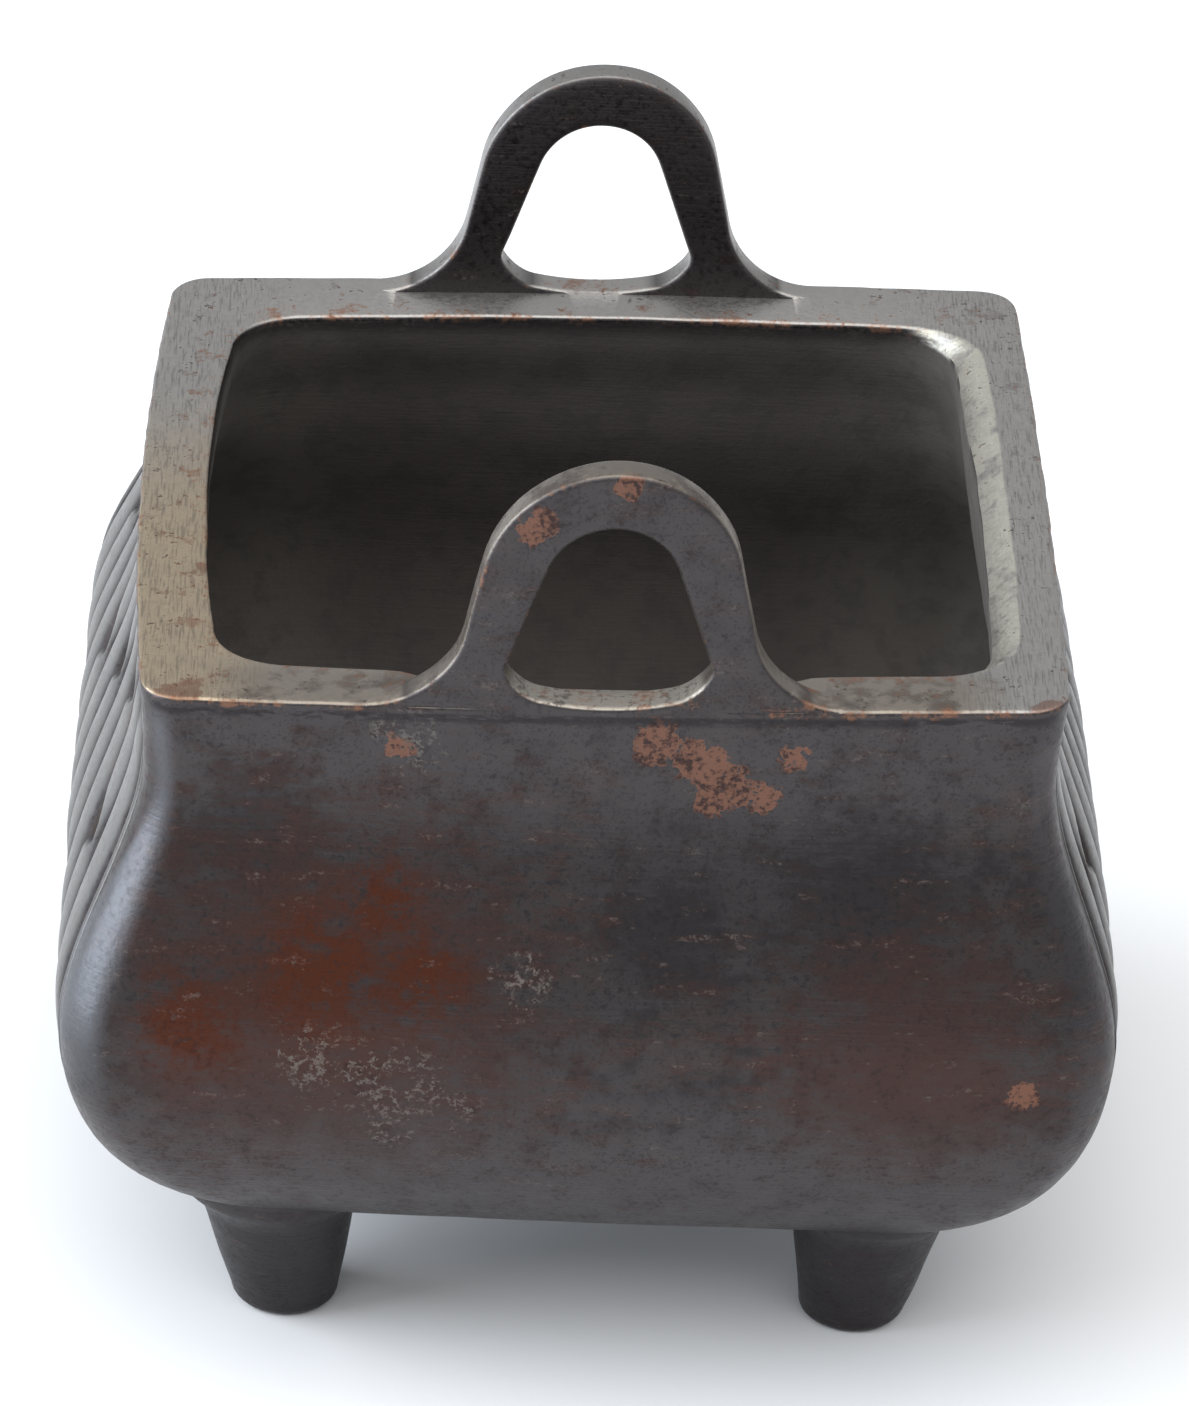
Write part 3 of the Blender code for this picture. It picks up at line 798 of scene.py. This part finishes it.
def make_foot(settings, name, side_x, side_y):
    """A tapering foot, its sole's edge rounded and its top inside the bowl's floor."""
    foot = settings.foot
    mesh = bmesh.new()
    underside = settings.bowl.rim_height - settings.bowl.underside_drop
    top = underside + foot.root
    sole = foot.bottom / 2 - foot.edge
    profile = [(sole / 2, 0.0), (sole, 0.0)]
    for i in range(1, SOLE_FACETS + 1):
        turn = RIGHT_ANGLE * i / SOLE_FACETS
        profile.append((sole + foot.edge * math.sin(turn), foot.edge * (1 - math.cos(turn))))
    for i in range(1, FOOT_LEVELS + 1):
        z = blend(foot.edge, top, i / FOOT_LEVELS)
        flare = max((z - underside) / foot.fillet + 1, 0.0) ** 2 * foot.fillet / 2
        profile.append((foot.bottom / 2 + foot.taper * (z - foot.edge) + min(flare, foot.fillet), z))
    rings = []
    turns = [4 * RIGHT_ANGLE * i / FOOT_FACETS for i in range(FOOT_FACETS)]
    for radius, z in profile:
        place = foot.spread + foot.splay * z
        middle = Vector((side_x * place, side_y * place, z))
        ring = []
        for turn in turns:
            point = middle + radius * Vector((math.cos(turn), math.sin(turn), 0.0))
            stray = FOOT_STRAY * smooth_step(z / (2 * MM)) * noise.noise_vector(point / FOOT_STRAY_LENGTH)
            ring.append(point + Vector((stray.x, stray.y, 0.0)))
        rings.append(ring)
    loft(mesh, rings, True, True)
    return store(mesh, name)


def joined(casting, shapes):
    """The casting and its shapes as one closed skin."""
    mesh = bmesh.new()
    for shape in shapes:
        mesh.from_mesh(shape.data)
        bpy.data.objects.remove(shape, do_unlink=True)
    added = store(mesh, "added_shapes")
    union = casting.modifiers.new("union", "BOOLEAN")
    union.operation = "UNION"
    union.solver = "EXACT"
    union.object = added
    graph = bpy.context.evaluated_depsgraph_get()
    data = bpy.data.meshes.new_from_object(casting.evaluated_get(graph))
    data.name = "bronze_casting"
    obj = bpy.data.objects.new("bronze_casting", data)
    bpy.context.scene.collection.objects.link(obj)
    for shape in (casting, added):
        bpy.data.objects.remove(shape, do_unlink=True)
    return obj


# Marks on the skin that its finish follows


def relief_at(bowl, point):
    """How far a point lies above the plain side, with its level of the bowl and its drop."""
    s = bowl.sizes
    middle, slope = deepening(s)
    z = middle + (point.z - middle) / (1 + slope * point.x)
    drop = s.rim_height - z
    if drop < s.belly_drop:
        section = bowl.upper(max(drop, 0.0))
    else:
        depth = s.underside_drop - s.belly_drop
        down = min((drop - s.belly_drop) / depth, 1.0)
        turn = math.asin(down ** (s.underside_fullness / 2)) / RIGHT_ANGLE
        section = bowl.lower(turn, s.underside_round, depth)
    bow = section.bow[0] if point.x > 0 else section.bow[2]
    plain = section.half_side + bowed(min(abs(point.y), section.run), section.run, bow)
    return abs(point.x) - plain, section, drop


def nearness(point, spots):
    """1 at the middle of the nearest spot and 0 from its radius on."""
    return max(smooth_step(1 - (point / MM - Vector(middle)).length / radius) for middle, radius in spots)


def mark_skin(obj, bowl):
    """Stores where edges are worn, where the carving is deep, what lies inside and the clouds."""
    s = bowl.sizes
    mesh = bmesh.new()
    mesh.from_mesh(obj.data)
    bmesh.ops.remove_doubles(mesh, verts=mesh.verts, dist=1e-6)
    bmesh.ops.recalc_face_normals(mesh, faces=mesh.faces)
    worn = mesh.verts.layers.float.new("worn")
    hollow = mesh.verts.layers.float.new("hollow")
    inside = mesh.verts.layers.float.new("inside")
    clouds = {name: mesh.verts.layers.float.new(name) for name in CLOUDS}
    c = bowl.carving
    for vert in mesh.verts:
        sharpest = 0.0
        for edge in vert.link_edges:
            if len(edge.link_faces) == 2 and edge.is_convex:
                sharpest = max(sharpest, edge.calc_face_angle(0.0))
        relief, section, drop = relief_at(bowl, vert.co)
        within = section.half_side - max(abs(vert.co.x), abs(vert.co.y))
        is_inside = within > SKIN_DEPTH and INSIDE_FROM < drop < s.underside_drop - s.floor / 2
        vert[inside] = smooth_step((drop - INSIDE_FROM) / INSIDE_FADE) if is_inside else 0.0
        in_panel = c.top < drop < c.bottom and abs(vert.co.y) < bowl.half_length(section)
        if in_panel and within < SKIN_DEPTH:
            vert[hollow] = min(max((1 - c.rib_valley) - relief / c.rib_relief, 0.01), 1.0)
        else:
            vert[worn] = smooth_step((sharpest - WORN_ANGLE / 2) / WORN_ANGLE)
        for name, layer in clouds.items():
            vert[layer] = nearness(vert.co, CLOUDS[name])
    for _ in range(2):
        for vert in mesh.verts:
            short = [edge for edge in vert.link_edges if edge.calc_length() < WEAR_REACH]
            if short:
                near = [edge.other_vert(vert)[worn] for edge in short]
                vert[worn] = blend(vert[worn], sum(near) / len(near), 0.5)
    mesh.to_mesh(obj.data)
    mesh.free()
    obj.data.shade_smooth()
    obj.data.set_sharp_from_angle(angle=SHARP_ANGLE)


# Materials


class Value:
    """A number that varies over a surface. Sums and products of values add their nodes."""

    def __init__(self, maker, socket):
        self.maker = maker
        self.socket = socket

    def __add__(self, other):
        return self.maker.math("ADD", self, other)

    def __sub__(self, other):
        return self.maker.math("SUBTRACT", self, other)

    def __mul__(self, other):
        return self.maker.math("MULTIPLY", self, other)

    def __radd__(self, other):
        return self.maker.math("ADD", other, self)

    def __rsub__(self, other):
        return self.maker.math("SUBTRACT", other, self)

    def __rmul__(self, other):
        return self.maker.math("MULTIPLY", other, self)

    def __abs__(self):
        return self.maker.math("ABSOLUTE", self)


class Maker:
    """Adds nodes to one material."""

    def __init__(self, name):
        self.material = bpy.data.materials.new(name)
        self.material.use_nodes = True
        self.tree = self.material.node_tree
        self.shader = self.tree.nodes["Principled BSDF"]
        self.coordinates = self.node("ShaderNodeTexCoord")

    def node(self, kind, settings=None, inputs=None):
        """A node with its settings made first, then its sockets set or linked."""
        made = self.tree.nodes.new(kind)
        for key, value in (settings or {}).items():
            setattr(made, key, value)
        for key, value in (inputs or {}).items():
            self.put(made.inputs[key], value)
        return made

    def put(self, socket, value):
        if isinstance(value, Value):
            self.tree.links.new(value.socket, socket)
        else:
            socket.default_value = value

    def math(self, operation, *values):
        made = self.node("ShaderNodeMath", {"operation": operation}, dict(enumerate(values)))
        return Value(self, made.outputs[0])

    def most(self, first, second):
        """The larger of two values."""
        return self.math("MAXIMUM", first, second)

    def step(self, value, low, high):
        """0 below low and 1 above high, eased between them. low may be the larger one."""
        inputs = {"Value": value, "From Min": low, "From Max": high}
        settings = {"interpolation_type": "SMOOTHSTEP"}
        if low > high:
            inputs.update({"From Min": high, "From Max": low, "To Min": 1.0, "To Max": 0.0})
        return Value(self, self.node("ShaderNodeMapRange", settings, inputs).outputs["Result"])

    def mix(self, first, second, factor):
        """From the first colour to the second."""
        made = self.node("ShaderNodeMix", {"data_type": "RGBA"}, {0: factor})
        for index, value in ((6, first), (7, second)):
            self.put(made.inputs[index], value if isinstance(value, Value) else (*value, 1.0))
        return Value(self, made.outputs[2])

    def vector(self, operation, first, second):
        made = self.node("ShaderNodeVectorMath", {"operation": operation}, {0: first, 1: second})
        return Value(self, made.outputs[0])

    def distance(self, first, second):
        made = self.node("ShaderNodeVectorMath", {"operation": "DISTANCE"}, {0: first, 1: second})
        return Value(self, made.outputs["Value"])

    def nearest(self, place, spots):
        """1 at the middle of the nearest spot and 0 from its radius on."""
        near = [self.step(self.distance(place, middle), radius, 0.0) for middle, radius in spots]
        for other in near[1:]:
            near[0] = self.most(near[0], other)
        return near[0]

    def millimetres(self):
        """The place on the surface, from the object's own coordinates."""
        return self.vector("MULTIPLY", Value(self, self.coordinates.outputs["Object"]), (1 / MM,) * 3)

    def axes(self, vector):
        made = self.node("ShaderNodeSeparateXYZ", None, {0: vector})
        return [Value(self, output) for output in made.outputs]

    def clouds(self, place, size, detail, roughness=0.5):
        """Noise around a half, whose features are about as big as size in millimetres."""
        inputs = {"Vector": place, "Scale": 1 / size, "Detail": detail, "Roughness": roughness}
        return Value(self, self.node("ShaderNodeTexNoise", None, inputs).outputs[0])

    def stretched(self, place, scale, detail, roughness=0.5):
        """Noise with its own number of features in a millimetre along each axis."""
        return self.clouds(self.vector("MULTIPLY", place, scale), 1.0, detail, roughness)

    def attribute(self, name):
        made = self.node("ShaderNodeAttribute", {"attribute_name": name})
        return Value(self, made.outputs["Fac"])

    def bump(self, height, distance, strength):
        inputs = {"Height": height, "Distance": distance, "Strength": strength}
        return Value(self, self.node("ShaderNodeBump", None, inputs).outputs[0])

    def cover(self, shader, factor):
        """Shows another shader in place of the main one, as much as the factor says."""
        mixed = self.node("ShaderNodeMixShader", None, {0: factor})
        self.tree.links.new(self.shader.outputs[0], mixed.inputs[1])
        self.tree.links.new(shader.outputs[0], mixed.inputs[2])
        self.tree.links.new(mixed.outputs[0], self.tree.nodes["Material Output"].inputs["Surface"])


class Skin:
    """What the casting's finish is worked out from, in millimetres over its surface."""

    def __init__(self, m, bowl):
        self.place = place = m.millimetres()
        self.x, self.y, self.z = m.axes(place)
        self.normal = m.axes(Value(m, m.coordinates.outputs["Normal"]))
        self.worn, self.hollow, self.inside = [m.attribute(name) for name in ("worn", "hollow", "inside")]
        self.near = {name: m.attribute(name) for name in CLOUDS}

        self.broad = m.clouds(place, 10.0, 2.0)
        self.medium = m.clouds(place, 2.4, 3.0, 0.65)
        self.fine = m.clouds(place, 0.45, 2.0, 0.7)
        self.streaks = m.stretched(place, (0.28, 0.28, 1.1), 3.0, 0.7)
        self.brushed = m.stretched(place, (0.25, 0.25, 5.0), 1.0)
        self.file_marks = m.stretched(place, (7.0, 0.45, 1.0), 2.0, 0.65)
        self.ragged = 2.6 * (self.medium - 0.5) + 1.6 * (self.fine - 0.5)

        # Height over the rim's top, and the faces that look up, forward or along the handles' edges
        rise = bowl.rim_rise / (bowl.rim_side / 2)
        self.over_rim = self.z - bowl.rim_height / MM - rise * self.x
        self.on_rim = m.step(self.normal[2], 0.45, 0.75) * m.step(abs(self.over_rim), 0.7, 0.35)
        self.faces_front = m.step(self.normal[1], -0.45, -0.8)
        self.handle_edge = m.step(self.over_rim, 0.2, 1.2) * m.step(abs(self.normal[1]), 0.8, 0.35)


def patina(m, finish, s):
    """Charcoal in clouds of brown and near-black, paler at the neck, paler low down as a painted
    reflection of the floor, and darkest on the feet as painted shade.
    """
    base = m.mix(finish.patina, finish.patina_dark, 0.6 * m.step(s.medium + 0.5 * s.broad, 0.70, 0.95))
    base = m.mix(base, finish.patina_warm, 0.7 * m.step(s.broad + s.streaks, 0.98, 1.22))
    neck = m.step(s.z, 42.0, 50.0)
    # Painted reflection: the lower belly is painted paler where it would mirror the floor.
    low = m.step(s.z, 29.0, 19.0)
    # Painted shade: the feet are painted darker.
    feet = m.step(s.z, 17.0, 10.0)
    base = m.mix(base, finish.paler_patina_and_painted_reflection, m.most(0.5 * neck, 0.8 * low))
    dark = s.near["dark"] + 1.6 * (s.streaks - 0.5) + 0.5 * s.ragged
    base = m.mix(base, finish.patina_dark, 0.65 * m.step(dark, 0.1, 0.9))
    base = m.mix(base, finish.patina_dark, 0.4 * m.step(s.fine, 0.46, 0.36))
    # Painted shade on the feet.
    return m.mix(base, finish.patina_dark, 0.6 * feet)


def oxide(m, finish, s, base):
    """Red-brown, deepest in a few clouds and faint all over. Returns the colour and the red's amount."""
    off_corner = m.step(s.x + 3.0 * (s.medium - 0.5), -33.0, -27.5)
    ruddy = s.near["ruddy"] + 1.6 * (s.streaks - 0.5) + 0.5 * s.ragged
    ruddy = m.step(ruddy, 0.0, 0.9) * off_corner * (0.35 + 0.65 * m.step(s.z, 18.0, 28.0))
    base = m.mix(base, finish.ruddy, 0.9 * ruddy)
    red = s.near["red"] * (0.85 + 2.2 * (s.streaks - 0.5) + 1.1 * s.ragged)
    red = m.step(red, 0.0, 1.1) * off_corner
    base = m.mix(base, finish.red_brown, 0.9 * red)
    faint = m.step(s.streaks + 0.5 * (s.broad - 0.5), 0.56, 0.70) * m.step(s.z, 50.0, 44.0)
    base = m.mix(base, finish.ruddy, 0.5 * faint * m.step(s.medium, 0.42, 0.6))
    specks = m.step(s.fine + 0.5 * (s.medium - 0.5), 0.57, 0.68)
    return m.mix(base, finish.patina_dark, 0.35 * specks), red


def painted_corner_highlight(m, finish, s, base):
    """A painted highlight, a paler sheen down the corners, strongest on the left."""
    # Painted highlight: the corners are painted paler, strongest on the left.
    corner = m.step(abs(s.normal[0]), 0.15, 0.6) * m.step(abs(s.y), 28.4, 29.4)
    corner = corner * m.step(s.z, 22.0, 31.0) * m.step(s.over_rim, 0.0, -3.0) * m.step(s.x, 60.0, -30.0)
    return m.mix(base, finish.painted_corner_highlight, 0.5 * corner * (0.6 + 0.8 * (s.medium - 0.2)))


def copper_flakes(m, finish, s, base):
    """Bare copper where the patina has flaked off. Returns the colour and the flakes' amount."""
    near_patch = m.nearest(s.place, COPPER_PATCHES)
    flakes = near_patch + 3.2 * (s.medium - 0.5) + 0.9 * (s.fine - 0.5)
    flakes = m.step(flakes, 0.34, 0.46) * m.step(near_patch, 0.0, 0.12)
    dots = m.step(s.medium + 0.5 * (s.fine - 0.5), 0.73, 0.77)
    dots = dots * m.step(s.streaks, 0.5, 0.58) * m.step(s.z, 20.0, 40.0)
    flakes = m.most(flakes, 0.8 * dots * s.faces_front)
    stain = m.step(s.fine + 0.7 * (s.medium - 0.5), 0.48, 0.70)
    copper = m.mix(finish.copper, finish.ruddy, stain)
    return m.mix(base, copper, 0.75 * flakes), flakes


def crust(m, finish, s, base):
    """Pale mineral in thin, curling lines and specks. Returns the colour and the crust's amount."""
    curl = m.step(abs(m.clouds(s.place, 1.1, 3.0, 0.75) - 0.5), 0.07, 0.01)
    near = s.near["crust"]
    grown = m.step(near + 1.5 * s.ragged + 1.2 * (s.streaks - 0.5), 0.2, 1.1) * m.step(near, 0.0, 0.3)
    grown = m.most(grown, 0.5 * m.step(s.streaks, 0.58, 0.68))
    lines = curl * m.step(s.fine, 0.40, 0.60) * grown
    specks = m.step(s.fine, 0.66, 0.74) * m.step(s.streaks, 0.50, 0.60)
    amount = m.most(lines, 0.3 * specks)
    return m.mix(base, finish.mineral, 0.24 * amount), amount


def carving_tint(m, finish, s, base):
    """Rubbed paler on the carving's ridges and dark in its valleys."""
    base = m.mix(base, finish.rubbed, 0.7 * m.step(s.hollow, 0.5, 0.05) * m.step(s.hollow, 0.0, 0.01))
    return m.mix(base, finish.soot, 0.85 * m.step(s.hollow, 0.5, 0.85))


def filed_rim(m, finish, s, base):
    """Filed metal on the rim, the bevel and the handles' edges. Returns the colour and its amount.

    It is painted warmer and paler on the left and near the front, a painted reflection of the light on the
    left over filed metal, and greyer to the right and the back. The mouth's bevel is painted bright,
    partly a painted reflection of that light.
    """
    # Painted reflection: the left and front of the filed rim take the warmer, paler colour.
    painted_left_reflection = m.step(s.x + 5.0 * (s.broad - 0.5), -16.0, -26.0)
    painted_left_reflection = painted_left_reflection * m.step(s.y + 8.0 * (s.medium - 0.5), 16.0, -8.0)
    front_strip = m.step(s.y, -24.0, -27.0) * m.step(abs(s.x), 27.0, 22.0)
    filed = m.mix(finish.filed_grey, finish.filed, m.most(painted_left_reflection, 0.5 * front_strip))
    filed = m.mix(filed, finish.patina_warm, front_strip * (0.35 + 0.3 * m.step(s.medium, 0.45, 0.6)))
    marks = m.step(s.file_marks, 0.48, 0.66) * m.step(abs(s.x), 20.0, 26.0)
    filed = m.mix(filed, finish.patina, 0.38 * marks)
    filed = m.mix(filed, finish.ruddy, 0.35 * m.step(s.medium + 0.4 * (s.fine - 0.5), 0.56, 0.70))
    # Painted reflection: the bevel faces the light on the left and is painted bright over its filed metal.
    bevel = m.step(s.normal[0], -0.12, -0.3) * m.step(s.normal[2], 0.15, 0.4)
    bevel = bevel * m.step(s.x, 18.0, 21.0) * m.step(s.over_rim, -2.0, -1.3)
    filed = m.mix(filed, finish.bevel, 0.85 * bevel * m.step(s.medium, 0.3, 0.5))
    pits = m.step(s.fine, 0.61, 0.68) * m.step(s.medium, 0.44, 0.56)
    filed = m.mix(filed, finish.patina_dark, 0.7 * pits)
    filed = m.mix(filed, finish.copper, 0.65 * m.step(s.near["rust"] + 0.5 * s.ragged, 0.35, 0.6))
    bare = m.most(m.most(s.on_rim, bevel), 0.7 * s.handle_edge)
    return m.mix(base, filed, 0.95 * bare), bare


def rough_sill(m, finish, s, base):
    """The sill of the front handle's opening, rubbed pale and rough."""
    sill = m.step(abs(s.x), 7.2, 6.4) * m.step(abs(s.over_rim - 0.6), 1.4, 0.8)
    sill = sill * m.step(s.y, -20.0, -24.0) * m.step(abs(s.normal[1]), 0.95, 0.7)
    dark = m.step(s.fine + 0.5 * (s.brushed - 0.5), 0.46, 0.72)
    return m.mix(base, m.mix(finish.mineral, finish.patina_dark, 0.7 * dark), 0.85 * sill)


def worn_edges(m, finish, s, base):
    """A darker line under the rim on faces that look forward, and bare metal along worn edges."""
    under_rim = m.step(s.over_rim, -0.4, -0.7) * m.step(s.over_rim, -1.5, -0.9) * s.faces_front
    base = m.mix(base, finish.patina_dark, 0.7 * under_rim * m.step(s.streaks, 0.40, 0.52))
    spared = 0.35 * m.step(s.over_rim, 0.3, 1.5)
    rubbed = m.step(s.worn + 1.1 * s.ragged - spared, 0.75, 1.35) * m.step(s.over_rim, -1.2, -0.3)
    return m.mix(base, finish.worn_edge, 0.5 * rubbed)


def bronze(finish, bowl):
    """Dark patina with red oxide, crust and bare metal, and a dull, sooty inside."""
    m = Maker("aged_bronze")
    s = Skin(m, bowl)
    base = patina(m, finish, s)
    base, red = oxide(m, finish, s, base)
    base = painted_corner_highlight(m, finish, s, base)
    base, flakes = copper_flakes(m, finish, s, base)
    base, crusted = crust(m, finish, s, base)
    base = carving_tint(m, finish, s, base)
    base, bare = filed_rim(m, finish, s, base)
    base = rough_sill(m, finish, s, base)
    base = worn_edges(m, finish, s, base)

    metal = m.most(0.93 - 0.5 * crusted, 0.95 * m.most(bare, flakes))
    rough = 0.45 + 0.30 * (s.medium - 0.5) + 0.40 * (s.fine - 0.5) + 0.05 * red + 0.2 * crusted
    bumps = m.bump(0.8 * s.fine + 0.5 * s.brushed, 0.05 * MM, 0.8)
    outside = {"Base Color": base, "Metallic": metal, "Roughness": rough + 0.3 * s.hollow, "Normal": bumps}
    for socket, value in outside.items():
        m.put(m.shader.inputs[socket], value)

    # Painted light: the inside's left and right walls are painted paler, standing in for light they catch.
    soot = m.mix(finish.inside, finish.mineral, 0.14 * m.step(abs(s.x), 14.0, 24.0))
    soot = m.mix(soot, finish.patina_dark, 0.25 * m.step(s.medium, 0.45, 0.65))
    dull = {"Base Color": soot, "Roughness": 0.8, "Normal": bumps}
    m.cover(m.node("ShaderNodeBsdfPrincipled", None, dull), s.inside)
    return m.material


def pale_floor(colour):
    m = Maker("pale_floor")
    place = m.millimetres()
    tint = [channel * 0.96 for channel in colour]
    m.put(m.shader.inputs["Base Color"], m.mix(colour, tint, m.clouds(place, 60.0, 2.0)))
    m.put(m.shader.inputs["Normal"], m.bump(m.clouds(place, 2.0, 1.0), 0.05 * MM, 0.3))
    m.shader.inputs["Roughness"].default_value = 0.85
    m.shader.inputs["Specular IOR Level"].default_value = 0.2
    return m.material


# The operators


class BURNER_OT_make_casting(bpy.types.Operator):
    """Model the bronze casting: bowl, rim, carving, handles and feet in one skin"""

    bl_idname = "burner.make_casting"
    bl_label = "Make the casting"

    def execute(self, context):
        settings = context.scene.burner
        noise.seed_set(NOISE_SEED)
        casting = make_bowl(settings)
        bows = settings.bowl.rim_bows
        shapes = [
            make_handle(settings, "front_handle_shape", -1, bows[3]),
            make_handle(settings, "back_handle_shape", 1, bows[1]),
        ]
        for side_x, side_y in ((1, -1), (1, 1), (-1, 1), (-1, -1)):
            shapes.append(make_foot(settings, "foot_shape", side_x, side_y))
        casting = joined(casting, shapes)
        mark_skin(casting, Bowl(settings.bowl, settings.carving))
        casting.data.materials.append(bronze(settings.finish, settings.bowl))
        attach(casting, "root")
        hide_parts("incense_burner")
        return {"FINISHED"}


def soft_light(name, place, size, watts, tint):
    """A square lamp that looks at the burner."""
    data = bpy.data.lights.new(name, "AREA")
    data.size = size
    data.energy = watts
    data.color = tint
    lamp = bpy.data.objects.new(name, data)
    bpy.context.scene.collection.objects.link(lamp)
    lamp.location = place
    lamp.rotation_euler = (LAMP_TARGET - lamp.location).to_track_quat("-Z", "Y").to_euler()


class BURNER_OT_make_stage(bpy.types.Operator):
    """Add the pale floor, the soft lights and the camera"""

    bl_idname = "burner.make_stage"
    bl_label = "Make the stage"

    def execute(self, context):
        stage = context.scene.burner.stage
        mesh = bmesh.new()
        bmesh.ops.create_grid(mesh, x_segments=4, y_segments=4, size=stage.floor_size / 2)
        floor = bpy.data.objects.new("pale_floor", bpy.data.meshes.new("pale_floor"))
        mesh.to_mesh(floor.data)
        mesh.free()
        floor.data.materials.append(pale_floor(tuple(stage.floor_colour)))
        context.scene.collection.objects.link(floor)

        world = bpy.data.worlds.new("studio")
        context.scene.world = world
        world.use_nodes = True
        sky = world.node_tree.nodes["Background"]
        sky.inputs["Color"].default_value = (0.94, 0.97, 1.0, 1.0)
        sky.inputs["Strength"].default_value = 0.62
        soft_light("window", (-0.75, -0.08, 0.30), size=0.75, watts=9.5, tint=(0.86, 0.93, 1.0))
        soft_light("ceiling", (0.0, -0.4, 1.4), size=2.0, watts=24.0, tint=(1.0, 0.98, 0.95))

        data = bpy.data.cameras.new("camera")
        data.sensor_width = 36.0
        data.lens = stage.lens
        data.clip_end = 20.0
        camera = bpy.data.objects.new("camera", data)
        context.scene.collection.objects.link(camera)
        pitch, yaw, roll = stage.camera_pitch, stage.camera_yaw, stage.camera_roll
        look = Vector((math.sin(yaw) * math.cos(pitch), math.cos(yaw) * math.cos(pitch), -math.sin(pitch)))
        right = Vector((math.cos(yaw), -math.sin(yaw), 0.0))
        above = right.cross(look)
        across = right * math.cos(roll) + above * math.sin(roll)
        upward = above * math.cos(roll) - right * math.sin(roll)
        turn = Matrix((across, upward, -look)).transposed().to_4x4()
        camera.matrix_world = Matrix.Translation(CAMERA_PLACE) @ turn
        context.scene.camera = camera
        context.scene.view_settings.view_transform = "Standard"
        return {"FINISHED"}


class BURNER_PT_sidebar(bpy.types.Panel):
    """The burner's sizes, finish and steps"""

    bl_idname = "BURNER_PT_sidebar"
    bl_label = "Bronze incense burner"
    bl_space_type = "VIEW_3D"
    bl_region_type = "UI"
    bl_category = "Burner"

    def draw(self, context):
        for operator in (BURNER_OT_make_casting, BURNER_OT_make_stage):
            self.layout.operator(operator.bl_idname)
        settings = context.scene.burner
        for group in ("bowl", "handle", "foot", "carving", "finish", "stage"):
            box = self.layout.box()
            box.label(text=group.title())
            sizes = getattr(settings, group)
            for name in sizes.__annotations__:
                box.prop(sizes, name)


CLASSES = (
    BurnerBowlSizes,
    BurnerHandleSizes,
    BurnerFootSizes,
    BurnerCarvingSizes,
    BurnerFinish,
    BurnerStage,
    BurnerSettings,
    BURNER_OT_make_casting,
    BURNER_OT_make_stage,
    BURNER_PT_sidebar,
)


def register():
    for made in CLASSES:
        bpy.utils.register_class(made)
    bpy.types.Scene.burner = PointerProperty(type=BurnerSettings)


def unregister():
    del bpy.types.Scene.burner
    for made in reversed(CLASSES):
        bpy.utils.unregister_class(made)


def main():
    register()
    bpy.ops.burner.make_casting()
    bpy.ops.burner.make_stage()


if __name__ == "__main__":
    main()
